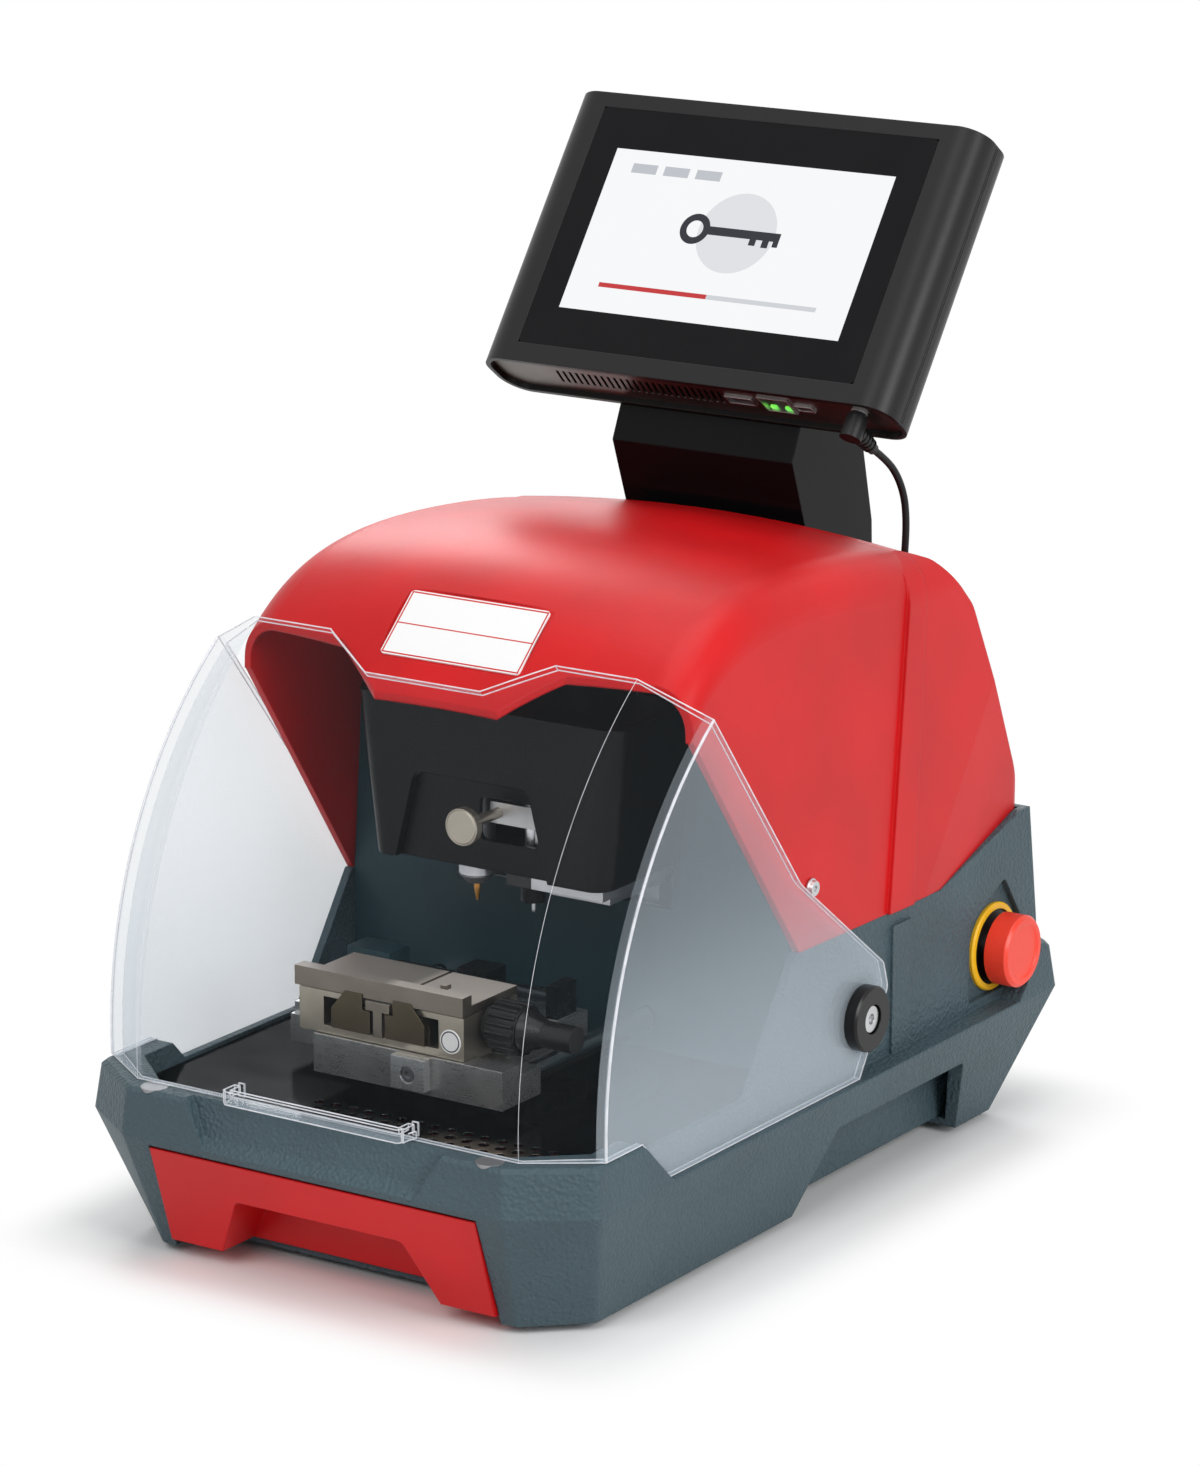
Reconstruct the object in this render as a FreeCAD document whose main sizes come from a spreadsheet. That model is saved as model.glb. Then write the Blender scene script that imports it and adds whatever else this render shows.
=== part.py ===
import FreeCAD, Part
import math
import os
import re
import Sketcher
from FreeCAD import Placement, Rotation, Vector

# Key duplicating machine, in millimetres. +X is the machine's right, +Y its back, +Z up.
# The origin is on the floor, under the middle of the machine.

SIZES = {
    # Base: widest line (belt), legs, raised front and rear rims, upper wall
    "belt_w": 275, "base_depth": 430, "belt_z": 60, "foot_h": 4, "foot_r": 9, "foot_in": 38,
    "front_flat": 205, "corner_run": 23.8, "rear_corner": 8, "edge_round": 5,
    "taper_side": 15.5, "taper_front": 20, "taper_rear": 35, "base_floor": 4, "base_wall": 5,
    "rim_z": 82, "rim_lean": 2.4, "rim_chamfer": 1.8, "ledge_z": 61, "bump_len": 62, "bump_run": 20,
    "rear_bump_len": 17, "rear_bump_run": 26,
    "wall_w": 251, "wall_t": 4, "wall_rear_in": 3, "wall_rear_lean": 13, "border_z": 73,
    "column_y": -14, "column_run": 40, "seam_z": 131, "seam_kink_y": 115, "seam_rear_z": 150,
    "arch_front_y": 0, "arch_rear_y": 140, "arch_z": 42, "arch_slope": 13,
    "rib_y": 77.5, "rib_w": 17, "rib_t": 1.6,
    "recess_top_w": 140, "recess_low_w": 110, "recess_depth": 9,
    "chamber_front": 17, "tray_z": 70, "tray_t": 1.2, "tray_ledge": 6, "hole_r": 2.6, "hole_pitch": 9,
    "pan_w": 224, "pan_y0": -18, "pan_rear_in": 43, "pan_h": 36, "pan_t": 1.5,
    "magnet_r": 6.5, "magnet_x": 90.7, "magnet_in": 9.2, "magnet_t": 2,
    "back_wall_y": -12, "back_wall_t": 3, "back_wall_z": 240, "slot_w": 116, "slot_z": 140,
    # Chip drawer
    "drawer_w": 176, "drawer_len": 166, "drawer_top_z": 56, "drawer_lean": 15, "drawer_front_in": 1,
    "drawer_wall": 3.5, "grip_low_w": 120, "grip_top_w": 90, "grip_z": 37, "grip_depth": 38,
    # Hood
    "hood_w": 253, "hood_lean": 6.5, "hood_t": 3.5, "crest_z": 308, "crown": 9, "shoulder_r": 22,
    "lip_y": -116, "lip_side_y": -102, "lip_low_w": 66, "lip_high_w": 120, "lip_z": 246,
    "hoop_y": 62, "hoop_top_y": 95.6, "hoop_w": 23, "hoop_top_w": 13, "hoop_t": 1.8, "hoop_z": 296,
    "hood_rear_in": 15, "hood_rear_w": 242,
    "badge_w": 75, "badge_h": 35, "badge_t": 1.2,
    "hood_screw_y": -1.2, "hood_screw_z": 158.8,
    # Guard and its pivot
    "pivot_y": 29.5, "pivot_z": 91, "guard_w": 268, "guard_flat": 206, "guard_r": 232,
    "guard_edge_r": 211, "guard_t": 3, "guard_top_deg": 52.8, "guard_dip_deg": 48,
    "guard_dip_w": 62, "guard_peak_w": 121, "guard_gap": 0.5, "guard_heel_r": 29,
    "handle_w": 100, "handle_out": 11.5, "handle_t": 3,
    "knob_r": 15.5, "knob_face": 140.4, "shoulder_pin_r": 6, "pivot_screw_r": 4, "running_fit": 0.06,
    # Emergency stop
    "stop_rear_in": 45, "stop_z": 87, "stop_pocket": 3.5, "collar_r": 21.5, "collar_hole_r": 18.4,
    "collar_t": 2.3, "cap_r": 17.5, "cap_face": 140.2, "cap_l": 12.2, "stem_r": 6, "barrel_r": 11,
    # Mains inlet with its switch, on the rear wall
    "inlet_z": 104, "inlet_w": 61, "inlet_h": 29, "inlet_x": -10, "inlet_lip": 2.5, "inlet_depth": 25.5,
    "rocker_w": 22, "rocker_h": 25.6, "rocker_rise": 3.4,
    # Display: frame along the screen, and the neck
    "screen_rear_in": 118.7, "screen_z": 387.9, "screen_tilt": 36.1, "screen_w": 154.2, "screen_h": 85.5,
    "display_w": 226, "display_round": 14, "display_t": 36, "display_low": 30, "display_len": 144.5,
    "display_wall": 2.5,
    "glass_w": 185, "glass_h": 126.5, "glass_low": 20, "glass_t": 1.6, "plate_in": 2.5, "plate_t": 1.5,
    "vent_count": 26, "vent_pitch": 3.6, "vent_w": 1.5, "vent_l": 13,
    "neck_w": 100, "neck_foot_z": 232,
    "plug_x": 92, "plug_w": 14, "plug_r": 5.2, "cable_r": 1.75, "grommet_r": 4.6,
    # Frame behind the chamber, head slide
    "column_w": 190, "column_plate_y": 6, "column_t": 8, "column_z": 245, "frame_foot_t": 8,
    "rail_x": 40, "rail_w": 12, "rail_t": 11, "rail_z0": 118, "motor_28": 28, "motor_42": 42,
    "z_screw_r": 4, "z_screw_y": 0.4,
    # Head
    "head_plate_y": -14, "head_plate_t": 8.5, "head_plate_w": 110, "head_z": 164, "head_top_z": 222,
    "cover_front_y": -78, "cover_back_y": -16.5, "cover_low_w": 127, "cover_top_w": 146,
    "cover_z": 240, "cover_t": 2.5, "cover_round": 9, "shelf_t": 5.5,
    "spindle_x": -15.5, "spindle_y": -62, "spindle_r": 6, "housing_r": 8.4, "nose_r": 9,
    "niche_depth": 4.6, "niche_low_w": 84, "niche_top_w": 62, "niche_x": -8, "niche_h": 42,
    "cutter_r": 1.6, "cutter_z": 145, "nose_z": 154, "pulley_z": 214, "pulley_h": 10, "pulley_r": 11,
    "tracer_x": 15.5, "tracer_r": 4, "tracer_tip_r": 0.9, "tracer_z": 144.5,
    "thumb_x": 0, "thumb_z": 190, "thumb_r": 8.5, "thumb_y": -97, "thumb_rod_r": 2.5,
    "spindle_motor_x": 30, "spindle_motor_y": -36, "spindle_motor_r": 19, "motor_pulley_r": 8,
    "belt_t": 1.5, "belt_gap": 0.3,
    # Table and clamp
    "clamp_x": -14, "clamp_l": 90, "clamp_y": -140, "clamp_d": 42, "clamp_z": 97.3, "clamp_h": 20,
    "table_left": 71, "table_right": 48, "bar_left": 36, "bar_right": 67, "bar_d": 30,
    "table_z": 79, "table_t": 18, "table_rear_y": -46, "key_w": 20, "key_d": 5,
    "shaft_r": 5, "shaft_z": 86, "shaft_gap": 116, "motor_gap": 10.3, "y_screw_r": 4,
    "x_screw_r": 3, "x_screw_y": -60, "x_screw_z": 105, "x_motor": 16,
    "jaw_l": 20.5, "jaw_gap": 2.5, "jaw_depth": 26, "window_z0": 101, "window_h": 13.5, "rib_core": 6,
    "screw_z": 110, "screw_y": -119, "clamp_screw_r": 3.9, "top_jaw_lift": 1, "top_jaw_t": 3.6,
    "post_l": 2.2, "top_bar_h": 9, "top_bar_d": 7,
    "knob_x": 35, "knob_l": 16, "knob_drum_r": 12.2, "stem_end_x": 77, "stem_knob_r": 6.2,
    "knob_ribs": 18, "clearance": 0.3,
}

doc = FreeCAD.newDocument("key_machine")
sheet = doc.addObject("Spreadsheet::Sheet", "Sizes")
for row, (alias, number) in enumerate(SIZES.items(), start=1):
    sheet.set(f"A{row}", alias)
    sheet.set(f"B{row}", str(number))
    sheet.setAlias(f"B{row}", alias)
doc.recompute()


class SheetValues:
    """Reads a size from the sheet by its alias."""

    def __getattr__(self, alias):
        return float(getattr(sheet, alias))


s = SheetValues()
ALIASES = re.compile(r"\b(" + "|".join(sorted(SIZES, key=len, reverse=True)) + r")\b")
AXIS_TURN = {"X": Rotation(Vector(0, 1, 0), 90), "Y": Rotation(Vector(1, 0, 0), -90), "Z": Rotation()}
nodes = {}


def bind(obj, prop, expression):
    """Tie a property to the sheet; bare words in the expression are cell aliases."""
    obj.setExpression(prop, ALIASES.sub(r"Sizes.\1", str(expression)))


def node(label, obj):
    """Name a finished sub-part, so that it is written to its own file."""
    obj.Label = label
    nodes[label] = obj
    return obj


def feature(label, shape):
    """A sub-part whose shape is worked out below from the sheet's values."""
    obj = doc.addObject("Part::Feature", label)
    obj.Shape = shape
    return node(label, obj)


def block(name, x, y, z):
    """A box; x, y and z are (low, high) pairs of expressions."""
    obj = doc.addObject("Part::Box", name)
    for prop, axis, (low, high) in zip(("Length", "Width", "Height"), "xyz", (x, y, z)):
        bind(obj, prop, f"({high}) - ({low})")
        bind(obj, f"Placement.Base.{axis}", low)
    return obj


def rod(name, radius, start, length, axis="Z"):
    """A cylinder from a start point along one axis."""
    obj = doc.addObject("Part::Cylinder", name)
    obj.Placement = Placement(Vector(), AXIS_TURN[axis])
    bind(obj, "Radius", radius)
    bind(obj, "Height", length)
    for axis_name, value in zip("xyz", start):
        bind(obj, f"Placement.Base.{axis_name}", value)
    return obj


def fuse(name, *parts):
    obj = doc.addObject("Part::MultiFuse", name)
    obj.Shapes = list(parts)
    return obj


def cut(name, base, *tools):
    obj = doc.addObject("Part::Cut", name)
    obj.Base = base
    obj.Tool = tools[0] if len(tools) == 1 else fuse(name + "_tools", *tools)
    return obj


def group(name, *parts):
    obj = doc.addObject("Part::Compound", name)
    obj.Links = list(parts)
    return obj


def profile_sketch(body, plane, corners):
    """A closed sketch on an origin plane of its body; each corner is a pair of expressions."""
    sketch = body.newObject("Sketcher::SketchObject", body.Name + "_profile")
    support = next(item for item in body.Origin.OriginFeatures if item.Role == plane)
    sketch.AttachmentSupport = [(support, "")]
    sketch.MapMode = "FlatFace"
    count = len(corners)
    start = [Vector(math.cos(2 * math.pi * i / count), math.sin(2 * math.pi * i / count), 0)
             for i in range(count)]
    for i in range(count):
        sketch.addGeometry(Part.LineSegment(start[i], start[(i + 1) % count]), False)
    sketch.addConstraint([Sketcher.Constraint("Coincident", i, 2, (i + 1) % count, 1)
                          for i in range(count)])
    for i, corner in enumerate(corners):
        for kind, expression in zip(("DistanceX", "DistanceY"), corner):
            index = sketch.addConstraint(Sketcher.Constraint(kind, -1, 1, i, 1, 1.0))
            bind(sketch, f"Constraints[{index}]", expression)
    return sketch


def turned(name, corners, start, axis="Z"):
    """A turned piece: (radius, height) corners revolved about an axis through the start point."""
    body = doc.addObject("PartDesign::Body", name)
    sketch = profile_sketch(body, "XZ_Plane", corners)
    spin = body.newObject("PartDesign::Revolution", name + "_turn")
    spin.Profile = sketch
    spin.ReferenceAxis = (sketch, ["V_Axis"])
    spin.Angle = 360
    body.Placement = Placement(Vector(), AXIS_TURN[axis])
    for axis_name, value in zip("xyz", start):
        bind(body, f"Placement.Base.{axis_name}", value)
    return body


def outline(points, lift):
    """A closed wire through (a, b) or (a, b, corner radius) points; lift places it in space."""
    count = len(points)
    flat = [Vector(p[0], p[1], 0) for p in points]
    runs = []
    for i, point in enumerate(points):
        radius = point[2] if len(point) > 2 else 0
        into = (flat[i - 1] - flat[i]).normalize()
        out = (flat[(i + 1) % count] - flat[i]).normalize()
        half = into.getAngle(out) / 2
        if radius == 0:
            runs.append((flat[i], None, flat[i]))
            continue
        reach = radius / math.tan(half)
        middle = (into + out).normalize() * (radius / math.sin(half) - radius)
        runs.append((flat[i] + into * reach, flat[i] + middle, flat[i] + out * reach))
    edges = []
    for i, (begin, middle, end) in enumerate(runs):
        if middle is not None:
            edges.append(Part.Arc(lift(begin), lift(middle), lift(end)).toShape())
        after = runs[(i + 1) % count][0]
        if end.distanceToPoint(after) > 1e-6:
            edges.append(Part.makeLine(lift(end), lift(after)))
    return Part.Wire(edges)


def prism(points, axis, low, high):
    """Extrude an outline along an axis: (y, z) points for X, (x, z) for Y, (x, y) for Z."""
    lift = {"X": lambda p: Vector(low, p.x, p.y), "Y": lambda p: Vector(p.x, low, p.y),
            "Z": lambda p: Vector(p.x, p.y, low)}[axis]
    way = {"X": Vector(1, 0, 0), "Y": Vector(0, 1, 0), "Z": Vector(0, 0, 1)}[axis]
    return Part.Face(outline(points, lift)).extrude(way * (high - low))


def mirrored(points):
    """Points of the right half, from front to back, and their mirror images."""
    return points + [(-p[0],) + tuple(p[1:]) for p in reversed(points)]


def cylinder(radius, start, way, length):
    return Part.makeCylinder(radius, length, start, way)


X, Y, Z = Vector(1, 0, 0), Vector(0, 1, 0), Vector(0, 0, 1)
front_y = -s.base_depth / 2
rear_y = s.base_depth / 2
hood_rear_y = rear_y - s.hood_rear_in
stop_y = rear_y - s.stop_rear_in
screen_y = rear_y - s.screen_rear_in
PAN_REAR = "base_depth/2 - pan_rear_in"
STOP_Y = "base_depth/2 - stop_rear_in"
SCREEN_Y = "base_depth/2 - screen_rear_in"
SHAFT_END = SCREEN_Y + " + 45 - 65 - motor_gap"
FAR = s.base_depth


def base_outline(z, side_in, front_in, rear_in, rounding):
    """The base's plan outline at one height, drawn in from the belt."""
    half = s.belt_w / 2 - side_in
    flat = s.front_flat / 2 - 0.4 * side_in
    front = front_y + front_in
    rear = rear_y - rear_in
    points = mirrored([(flat, front, rounding), (half, front + s.corner_run, rounding),
                       (half, rear - s.rear_corner, rounding),
                       (half - s.rear_corner, rear, rounding)])
    return outline(points, lambda p: Vector(p.x, p.y, z))


def upper_wall_profile(grow):
    """Side view of the base's upper wall: low border, column edge and seam to the hood."""
    column_low = s.column_y - s.column_run
    return [(front_y + s.bump_len, s.ledge_z - 1), (front_y + s.bump_len, s.border_z),
            (column_low, s.border_z), (s.column_y, s.seam_z + grow),
            (s.seam_kink_y, s.seam_z - 2 + grow), (hood_rear_y - 10, s.seam_rear_z + grow),
            (rear_y, s.seam_rear_z + grow), (rear_y, s.ledge_z - 1)]


def inlet_frame():
    """Placement on the leaning rear wall: local Y out of the wall, at the mains inlet's height."""
    lean = s.wall_rear_lean / (s.seam_rear_z - s.ledge_z)
    face_y = rear_y - s.wall_rear_in - lean * (s.inlet_z - s.ledge_z)
    return Placement(Vector(0, face_y, s.inlet_z), Rotation(X, math.degrees(math.atan(lean))))


def base_shape():
    """Moulded base: tapered legs, belt, raised rims, upper wall, cut for drawer, arches and pockets."""
    low = base_outline(s.foot_h, s.taper_side, s.taper_front, s.taper_rear, s.edge_round)
    belt = base_outline(s.belt_z, 0, 0, 0, s.edge_round)
    lean, soft = s.rim_lean, s.rim_chamfer
    rim = base_outline(s.rim_z - soft, lean, lean, lean, s.edge_round)
    rim_top = base_outline(s.rim_z, lean + soft, lean + soft, lean + soft, s.edge_round)
    legs = Part.makeLoft([low, belt], True, True)
    rims = Part.makeLoft([belt, rim, rim_top], True, True)
    bump_y = front_y + s.bump_len
    rear_bump_y = rear_y - s.rear_bump_len
    rims = rims.cut(prism([(bump_y + s.bump_run, s.ledge_z), (bump_y, s.rim_z), (bump_y, s.rim_z + 1),
                           (rear_bump_y, s.rim_z + 1), (rear_bump_y, s.rim_z),
                           (rear_bump_y - s.rear_bump_run, s.ledge_z)], "X", -FAR, FAR))
    half = s.wall_w / 2
    wall_rear = rear_y - s.wall_rear_in
    wall = prism(mirrored([(half, front_y + s.chamber_front), (half, wall_rear, s.edge_round)]),
                 "Z", s.ledge_z - 1, s.seam_rear_z)
    lean = prism([(wall_rear, s.ledge_z), (wall_rear + FAR, s.ledge_z), (wall_rear + FAR, FAR),
                  (wall_rear - s.wall_rear_lean * (FAR - s.ledge_z) / (s.seam_rear_z - s.ledge_z), FAR)],
                 "X", -FAR, FAR)
    wall = wall.common(prism(upper_wall_profile(0), "X", -FAR, FAR)).cut(lean)
    ribs = prism([(s.rib_y - s.rib_w / 2, s.ledge_z), (s.rib_y - s.rib_w / 2, s.seam_z - 8),
                  (s.rib_y + s.rib_w / 2, s.seam_z - 8), (s.rib_y + s.rib_w / 2, s.ledge_z)],
                 "X", -half - s.rib_t, half + s.rib_t)
    solid = legs.fuse([rims, wall, ribs])

    top_half = half - s.wall_t
    chamber = prism(mirrored([(s.front_flat / 2 - s.chamber_front / 2, front_y + s.chamber_front),
                              (top_half, front_y + s.chamber_front + s.corner_run),
                              (top_half, rear_y - s.wall_rear_in - s.wall_rear_lean - s.wall_t)]),
                    "Z", s.tray_z, FAR)
    ledge = prism(mirrored([(s.front_flat / 2 - s.chamber_front / 2 - s.tray_ledge,
                             front_y + s.chamber_front + s.tray_ledge),
                            (top_half - s.tray_ledge, front_y + s.chamber_front + s.corner_run),
                            (top_half - s.tray_ledge, rear_y - s.taper_rear)]),
                  "Z", s.ledge_z - s.base_wall - 1, s.tray_z)
    wall_in = s.base_wall
    hollow = Part.makeLoft([
        base_outline(s.foot_h + s.base_floor, s.taper_side + wall_in, s.taper_front + wall_in,
                     s.taper_rear + wall_in, s.edge_round),
        base_outline(s.ledge_z - wall_in, s.taper_side / 3 + wall_in, wall_in + s.taper_front / 3,
                     wall_in + s.taper_rear / 2, s.edge_round)], True, True)
    drawer_half = s.drawer_w / 2 + s.clearance * 2
    drawer_way = Part.makeBox(2 * drawer_half, s.taper_front + s.corner_run, s.drawer_top_z + 1,
                              Vector(-drawer_half, front_y - 1, 0))
    arches = prism([(s.arch_front_y - s.arch_slope, -1), (s.arch_front_y, s.arch_z / 2),
                    (s.arch_front_y + s.arch_slope, s.arch_z, 4),
                    (s.arch_rear_y - s.arch_slope, s.arch_z, 4), (s.arch_rear_y, -1)], "X", -FAR, FAR)
    scoop = prism([(front_y - 1, s.belt_z - 1), (front_y - 1, FAR), (front_y + s.recess_depth, FAR),
                   (front_y + s.recess_depth, s.rim_z), (front_y + s.recess_depth / 2, s.belt_z + 6)],
                  "X", -FAR, FAR)
    scoop = scoop.common(prism(mirrored([(s.recess_low_w / 2, s.belt_z - 2),
                                         (s.recess_top_w / 2, s.rim_z + 1)]), "Y", -FAR, FAR))
    solid = solid.cut([chamber, ledge, hollow, drawer_way, arches, scoop])

    guide_len = s.drawer_len - s.taper_front
    for side in (-1, 1):
        inner = min(side * drawer_half, side * (drawer_half + s.drawer_wall))
        guide = Part.makeBox(s.drawer_wall, guide_len, s.drawer_top_z - s.foot_h - s.base_floor,
                             Vector(inner, front_y + s.taper_front + s.base_wall,
                                    s.foot_h + s.base_floor))
        solid = solid.fuse(guide)
    magnets = [cylinder(s.magnet_r, Vector(side * s.magnet_x, front_y + s.magnet_in,
                                           s.rim_z - s.magnet_t),
                        Z, s.magnet_t + 1) for side in (-1, 1)]
    pivots = [cylinder(s.pivot_screw_r, Vector(-FAR, s.pivot_y, s.pivot_z), X, 2 * FAR)]
    pocket = prism([(stop_y - 27, s.ledge_z + 4, 3), (stop_y - 27, s.stop_z + 17, 3),
                    (stop_y + 6, s.stop_z + 33, 3), (stop_y + 23, s.stop_z + 9, 3),
                    (stop_y + 23, s.ledge_z + 4, 3)], "X", half - s.stop_pocket, half + 1)
    stop_bore = cylinder(s.barrel_r + s.clearance, Vector(0, stop_y, s.stop_z), X, FAR)
    boss_half = s.collar_r + 4
    boss = Part.makeBox(s.stop_pocket, 2 * boss_half, 2 * boss_half - 6,
                        Vector(half - s.wall_t - s.stop_pocket, stop_y - boss_half,
                               s.stop_z - boss_half + 6))
    hole_w, hole_h = s.inlet_w + 2 * s.clearance, s.inlet_h + 2 * s.clearance
    inlet = Part.makeBox(hole_w, 4 * s.inlet_depth, hole_h,
                         Vector(s.inlet_x - hole_w / 2, -2 * s.inlet_depth, -hole_h / 2))
    inlet.Placement = inlet_frame()
    solid = solid.fuse(boss).cut(magnets + pivots + [pocket, stop_bore, inlet])
    return solid.removeSplitter()


feature("base_housing", base_shape())


def small_base_pieces():
    """Pan under the frame, rubber feet, rim discs, perforated tray and the chamber's back wall."""
    floor_z = "foot_h + base_floor"
    shell = block("pan_outer", ("-pan_w/2", "pan_w/2"), ("pan_y0", PAN_REAR),
                  (floor_z, floor_z + " + pan_h"))
    inside = block("pan_inner", ("-pan_w/2 + pan_t", "pan_w/2 - pan_t"),
                   ("pan_y0 + pan_t", PAN_REAR + " - pan_t"),
                   (floor_z + " + pan_t", floor_z + " + pan_h + 1"))
    node("bottom_pan", cut("bottom_pan", shell, inside))

    x_foot = "belt_w/2 - taper_side - foot_in/2"
    feet = [turned(f"foot_{i}", [("0", "0"), ("foot_r - 1.5", "0"), ("foot_r", "foot_h"),
                                 ("0", "foot_h")],
                   (f"{sx}*({x_foot})", y, "0"))
            for i, (sx, y) in enumerate((sx, y) for sx in (-1, 1) for y in
                                        ("-base_depth/2 + taper_front + corner_run + foot_in/2",
                                         "base_depth/2 - taper_rear - foot_in/2"))]
    node("rubber_feet", group("rubber_feet", *feet))

    discs = [rod(f"magnet_{i}", "magnet_r - clearance/3",
                 (f"{sx}*magnet_x", "-base_depth/2 + magnet_in", "rim_z - magnet_t"), "magnet_t + 0.1")
             for i, sx in enumerate((-1, 1))]
    node("rim_magnets", group("rim_magnets", *discs))

    gap = s.clearance
    half = s.wall_w / 2 - s.wall_t - gap
    tray_front = front_y + s.chamber_front + gap
    sheet_metal = prism(mirrored([(s.front_flat / 2 - s.chamber_front / 2 - gap, tray_front),
                                  (half, tray_front + s.corner_run), (half, s.back_wall_y - gap)]),
                        "Z", s.tray_z, s.tray_z + s.tray_t)
    holes = []
    rows, columns = 5, 15
    for row in range(rows):
        for column in range(columns):
            x = (column - (columns - 1) / 2 + 0.5 * (row % 2)) * s.hole_pitch + s.hole_pitch * 3
            y = tray_front + 10 + row * s.hole_pitch * math.sqrt(3) / 2
            if abs(x) < half - 18:
                holes.append(cylinder(s.hole_r, Vector(x, y, s.tray_z - 1), Z, s.tray_t + 2))
    feature("chip_tray", sheet_metal.cut(holes))

    narrow = half - s.hood_lean
    panel = prism(mirrored([(half, s.tray_z), (half, s.seam_z), (narrow, s.back_wall_z)]), "Y",
                  s.back_wall_y, s.back_wall_y + s.back_wall_t)
    slot = Part.makeBox(s.slot_w, FAR, FAR, Vector(-s.slot_w / 2, -FAR / 2, s.slot_z))
    bores = [cylinder(s.shaft_r + 0.6, Vector(s.clamp_x + side * s.shaft_gap / 2, -FAR / 2, s.shaft_z), Y,
                      FAR)
             for side in (-1, 1)]
    bores.append(cylinder(s.y_screw_r + 0.6, Vector(s.clamp_x, -FAR / 2, s.shaft_z), Y, FAR))
    feature("chamber_back_wall", panel.cut([slot] + bores))


small_base_pieces()


def drawer_shape():
    """Chip drawer: leaning front with a finger arch, and an open bin behind it."""
    half = s.drawer_w / 2
    low_z = s.foot_h + s.base_floor + s.clearance
    front = front_y + s.drawer_front_in
    rear = front + s.drawer_len
    body = prism([(front, s.drawer_top_z), (front + s.drawer_lean, low_z), (rear, low_z),
                  (rear, s.drawer_top_z - 4), (front + s.drawer_lean, s.drawer_top_z - 4),
                  (front + 4, s.drawer_top_z)], "X", -half, half)
    bin_front = front + s.grip_depth + s.drawer_wall
    bin_space = Part.makeBox(s.drawer_w - 2 * s.drawer_wall, rear - s.drawer_wall - bin_front, FAR,
                             Vector(-half + s.drawer_wall, bin_front, low_z + s.drawer_wall))
    arch = prism(mirrored([(s.grip_low_w / 2, low_z - 1), (s.grip_top_w / 2, s.grip_z, 4)]), "Y",
                 front - 1, front + s.grip_depth)
    return body.cut([bin_space, arch])


feature("chip_drawer", drawer_shape())


def hood_section(y, top, inset, grow=0.0):
    """The hood's cross-section at one y: leaning sides, round shoulders and a crowned top."""
    low_z = s.seam_z - 20
    half = s.hood_w / 2 + grow - inset
    lean = s.hood_lean / (s.crest_z - s.seam_z)
    side = half - lean * (top - s.crown - low_z)
    edge_z = top + grow - inset - s.crown
    radius = max(s.shoulder_r - inset, 2)
    curve = math.atan2(2 * s.crown * side, side * side - s.crown * s.crown)
    turn = math.pi / 2 - curve - math.atan(lean)
    reach = radius * math.tan(turn / 2)
    arc_r = (side * side + s.crown * s.crown) / (2 * s.crown)
    top_end = Vector(side - reach * math.cos(curve), y, edge_z + reach * math.sin(curve))
    side_end = Vector(side + lean * reach, y, edge_z - reach)
    corner = Vector(side, y, edge_z)
    bisector = ((top_end - corner).normalize() + (side_end - corner).normalize()).normalize()
    middle = corner + bisector * (radius / math.cos(turn / 2) - radius)
    crest = Vector(0, y, top_end.z + (arc_r - math.sqrt(arc_r ** 2 - top_end.x ** 2)))

    def flip(v):
        return Vector(-v.x, v.y, v.z)

    low = Vector(half, y, low_z)
    return Part.Wire([
        Part.makeLine(flip(low), low), Part.makeLine(low, side_end),
        Part.Arc(side_end, middle, top_end).toShape(),
        Part.Arc(top_end, crest, flip(top_end)).toShape(),
        Part.Arc(flip(top_end), flip(middle), flip(side_end)).toShape(),
        Part.makeLine(flip(side_end), flip(low))])


def hood_block(inset):
    """The hood as a closed block, drawn in by inset: dome, hoop and sloping rear."""
    slope = math.tan(math.radians(42))
    stations = [(s.lip_y - 4, -58 - 4 * slope), (-103, -38), (-80, -17.5), (-41, -3), (0, 0),
                (s.hoop_y - 20, -2), (s.hoop_top_y + s.hoop_top_w / 2, -10)]
    dome = Part.makeLoft([hood_section(y, s.crest_z + drop, inset) for y, drop in stations], True, False)
    rear_z = s.hoop_z - 5 - inset
    rear_end = hood_rear_y - inset
    hoop_rear = s.hoop_top_y + s.hoop_top_w
    rear_side = [(s.hoop_y + s.hoop_w / 2, s.seam_z - 20), (s.hoop_top_y, rear_z), (hoop_rear, rear_z),
                 (hoop_rear + 14, rear_z - 6, 10), (hoop_rear + 40, rear_z - 32, 20),
                 (rear_end, s.seam_rear_z), (rear_end, s.seam_z - 20)]
    straight = Part.Face(hood_section(0, s.hoop_z, inset)).extrude(Y * FAR)
    rear = straight.common(prism(rear_side, "X", -FAR, FAR))
    half = s.hood_rear_w / 2 - inset
    taper = prism(mirrored([(s.hood_w, -FAR), (s.hood_w, s.hoop_y), (s.hood_w / 2, s.hoop_y + s.hoop_w),
                            (half, rear_end, 12)]), "Z", 0, FAR)
    rear = rear.common(taper)
    solid = dome.fuse(rear)
    if inset == 0:
        band = [(s.hoop_y, s.seam_z - 20), (s.hoop_top_y, s.hoop_z + 20),
                (s.hoop_top_y + s.hoop_top_w, s.hoop_z + 20), (s.hoop_y + s.hoop_w, s.seam_z - 20)]
        hoop = Part.Face(hood_section(0, s.hoop_z, 0, s.hoop_t)).extrude(Y * FAR)
        solid = solid.fuse(hoop.common(prism(band, "X", -FAR, FAR)))
    return solid


def badge_frame():
    """Placement on the hood's front slope, under the badge's middle."""
    slope = 42
    middle = Vector(0, -93, 279.4 + s.crest_z - 308)
    return Placement(middle, Rotation(X, slope))


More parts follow.
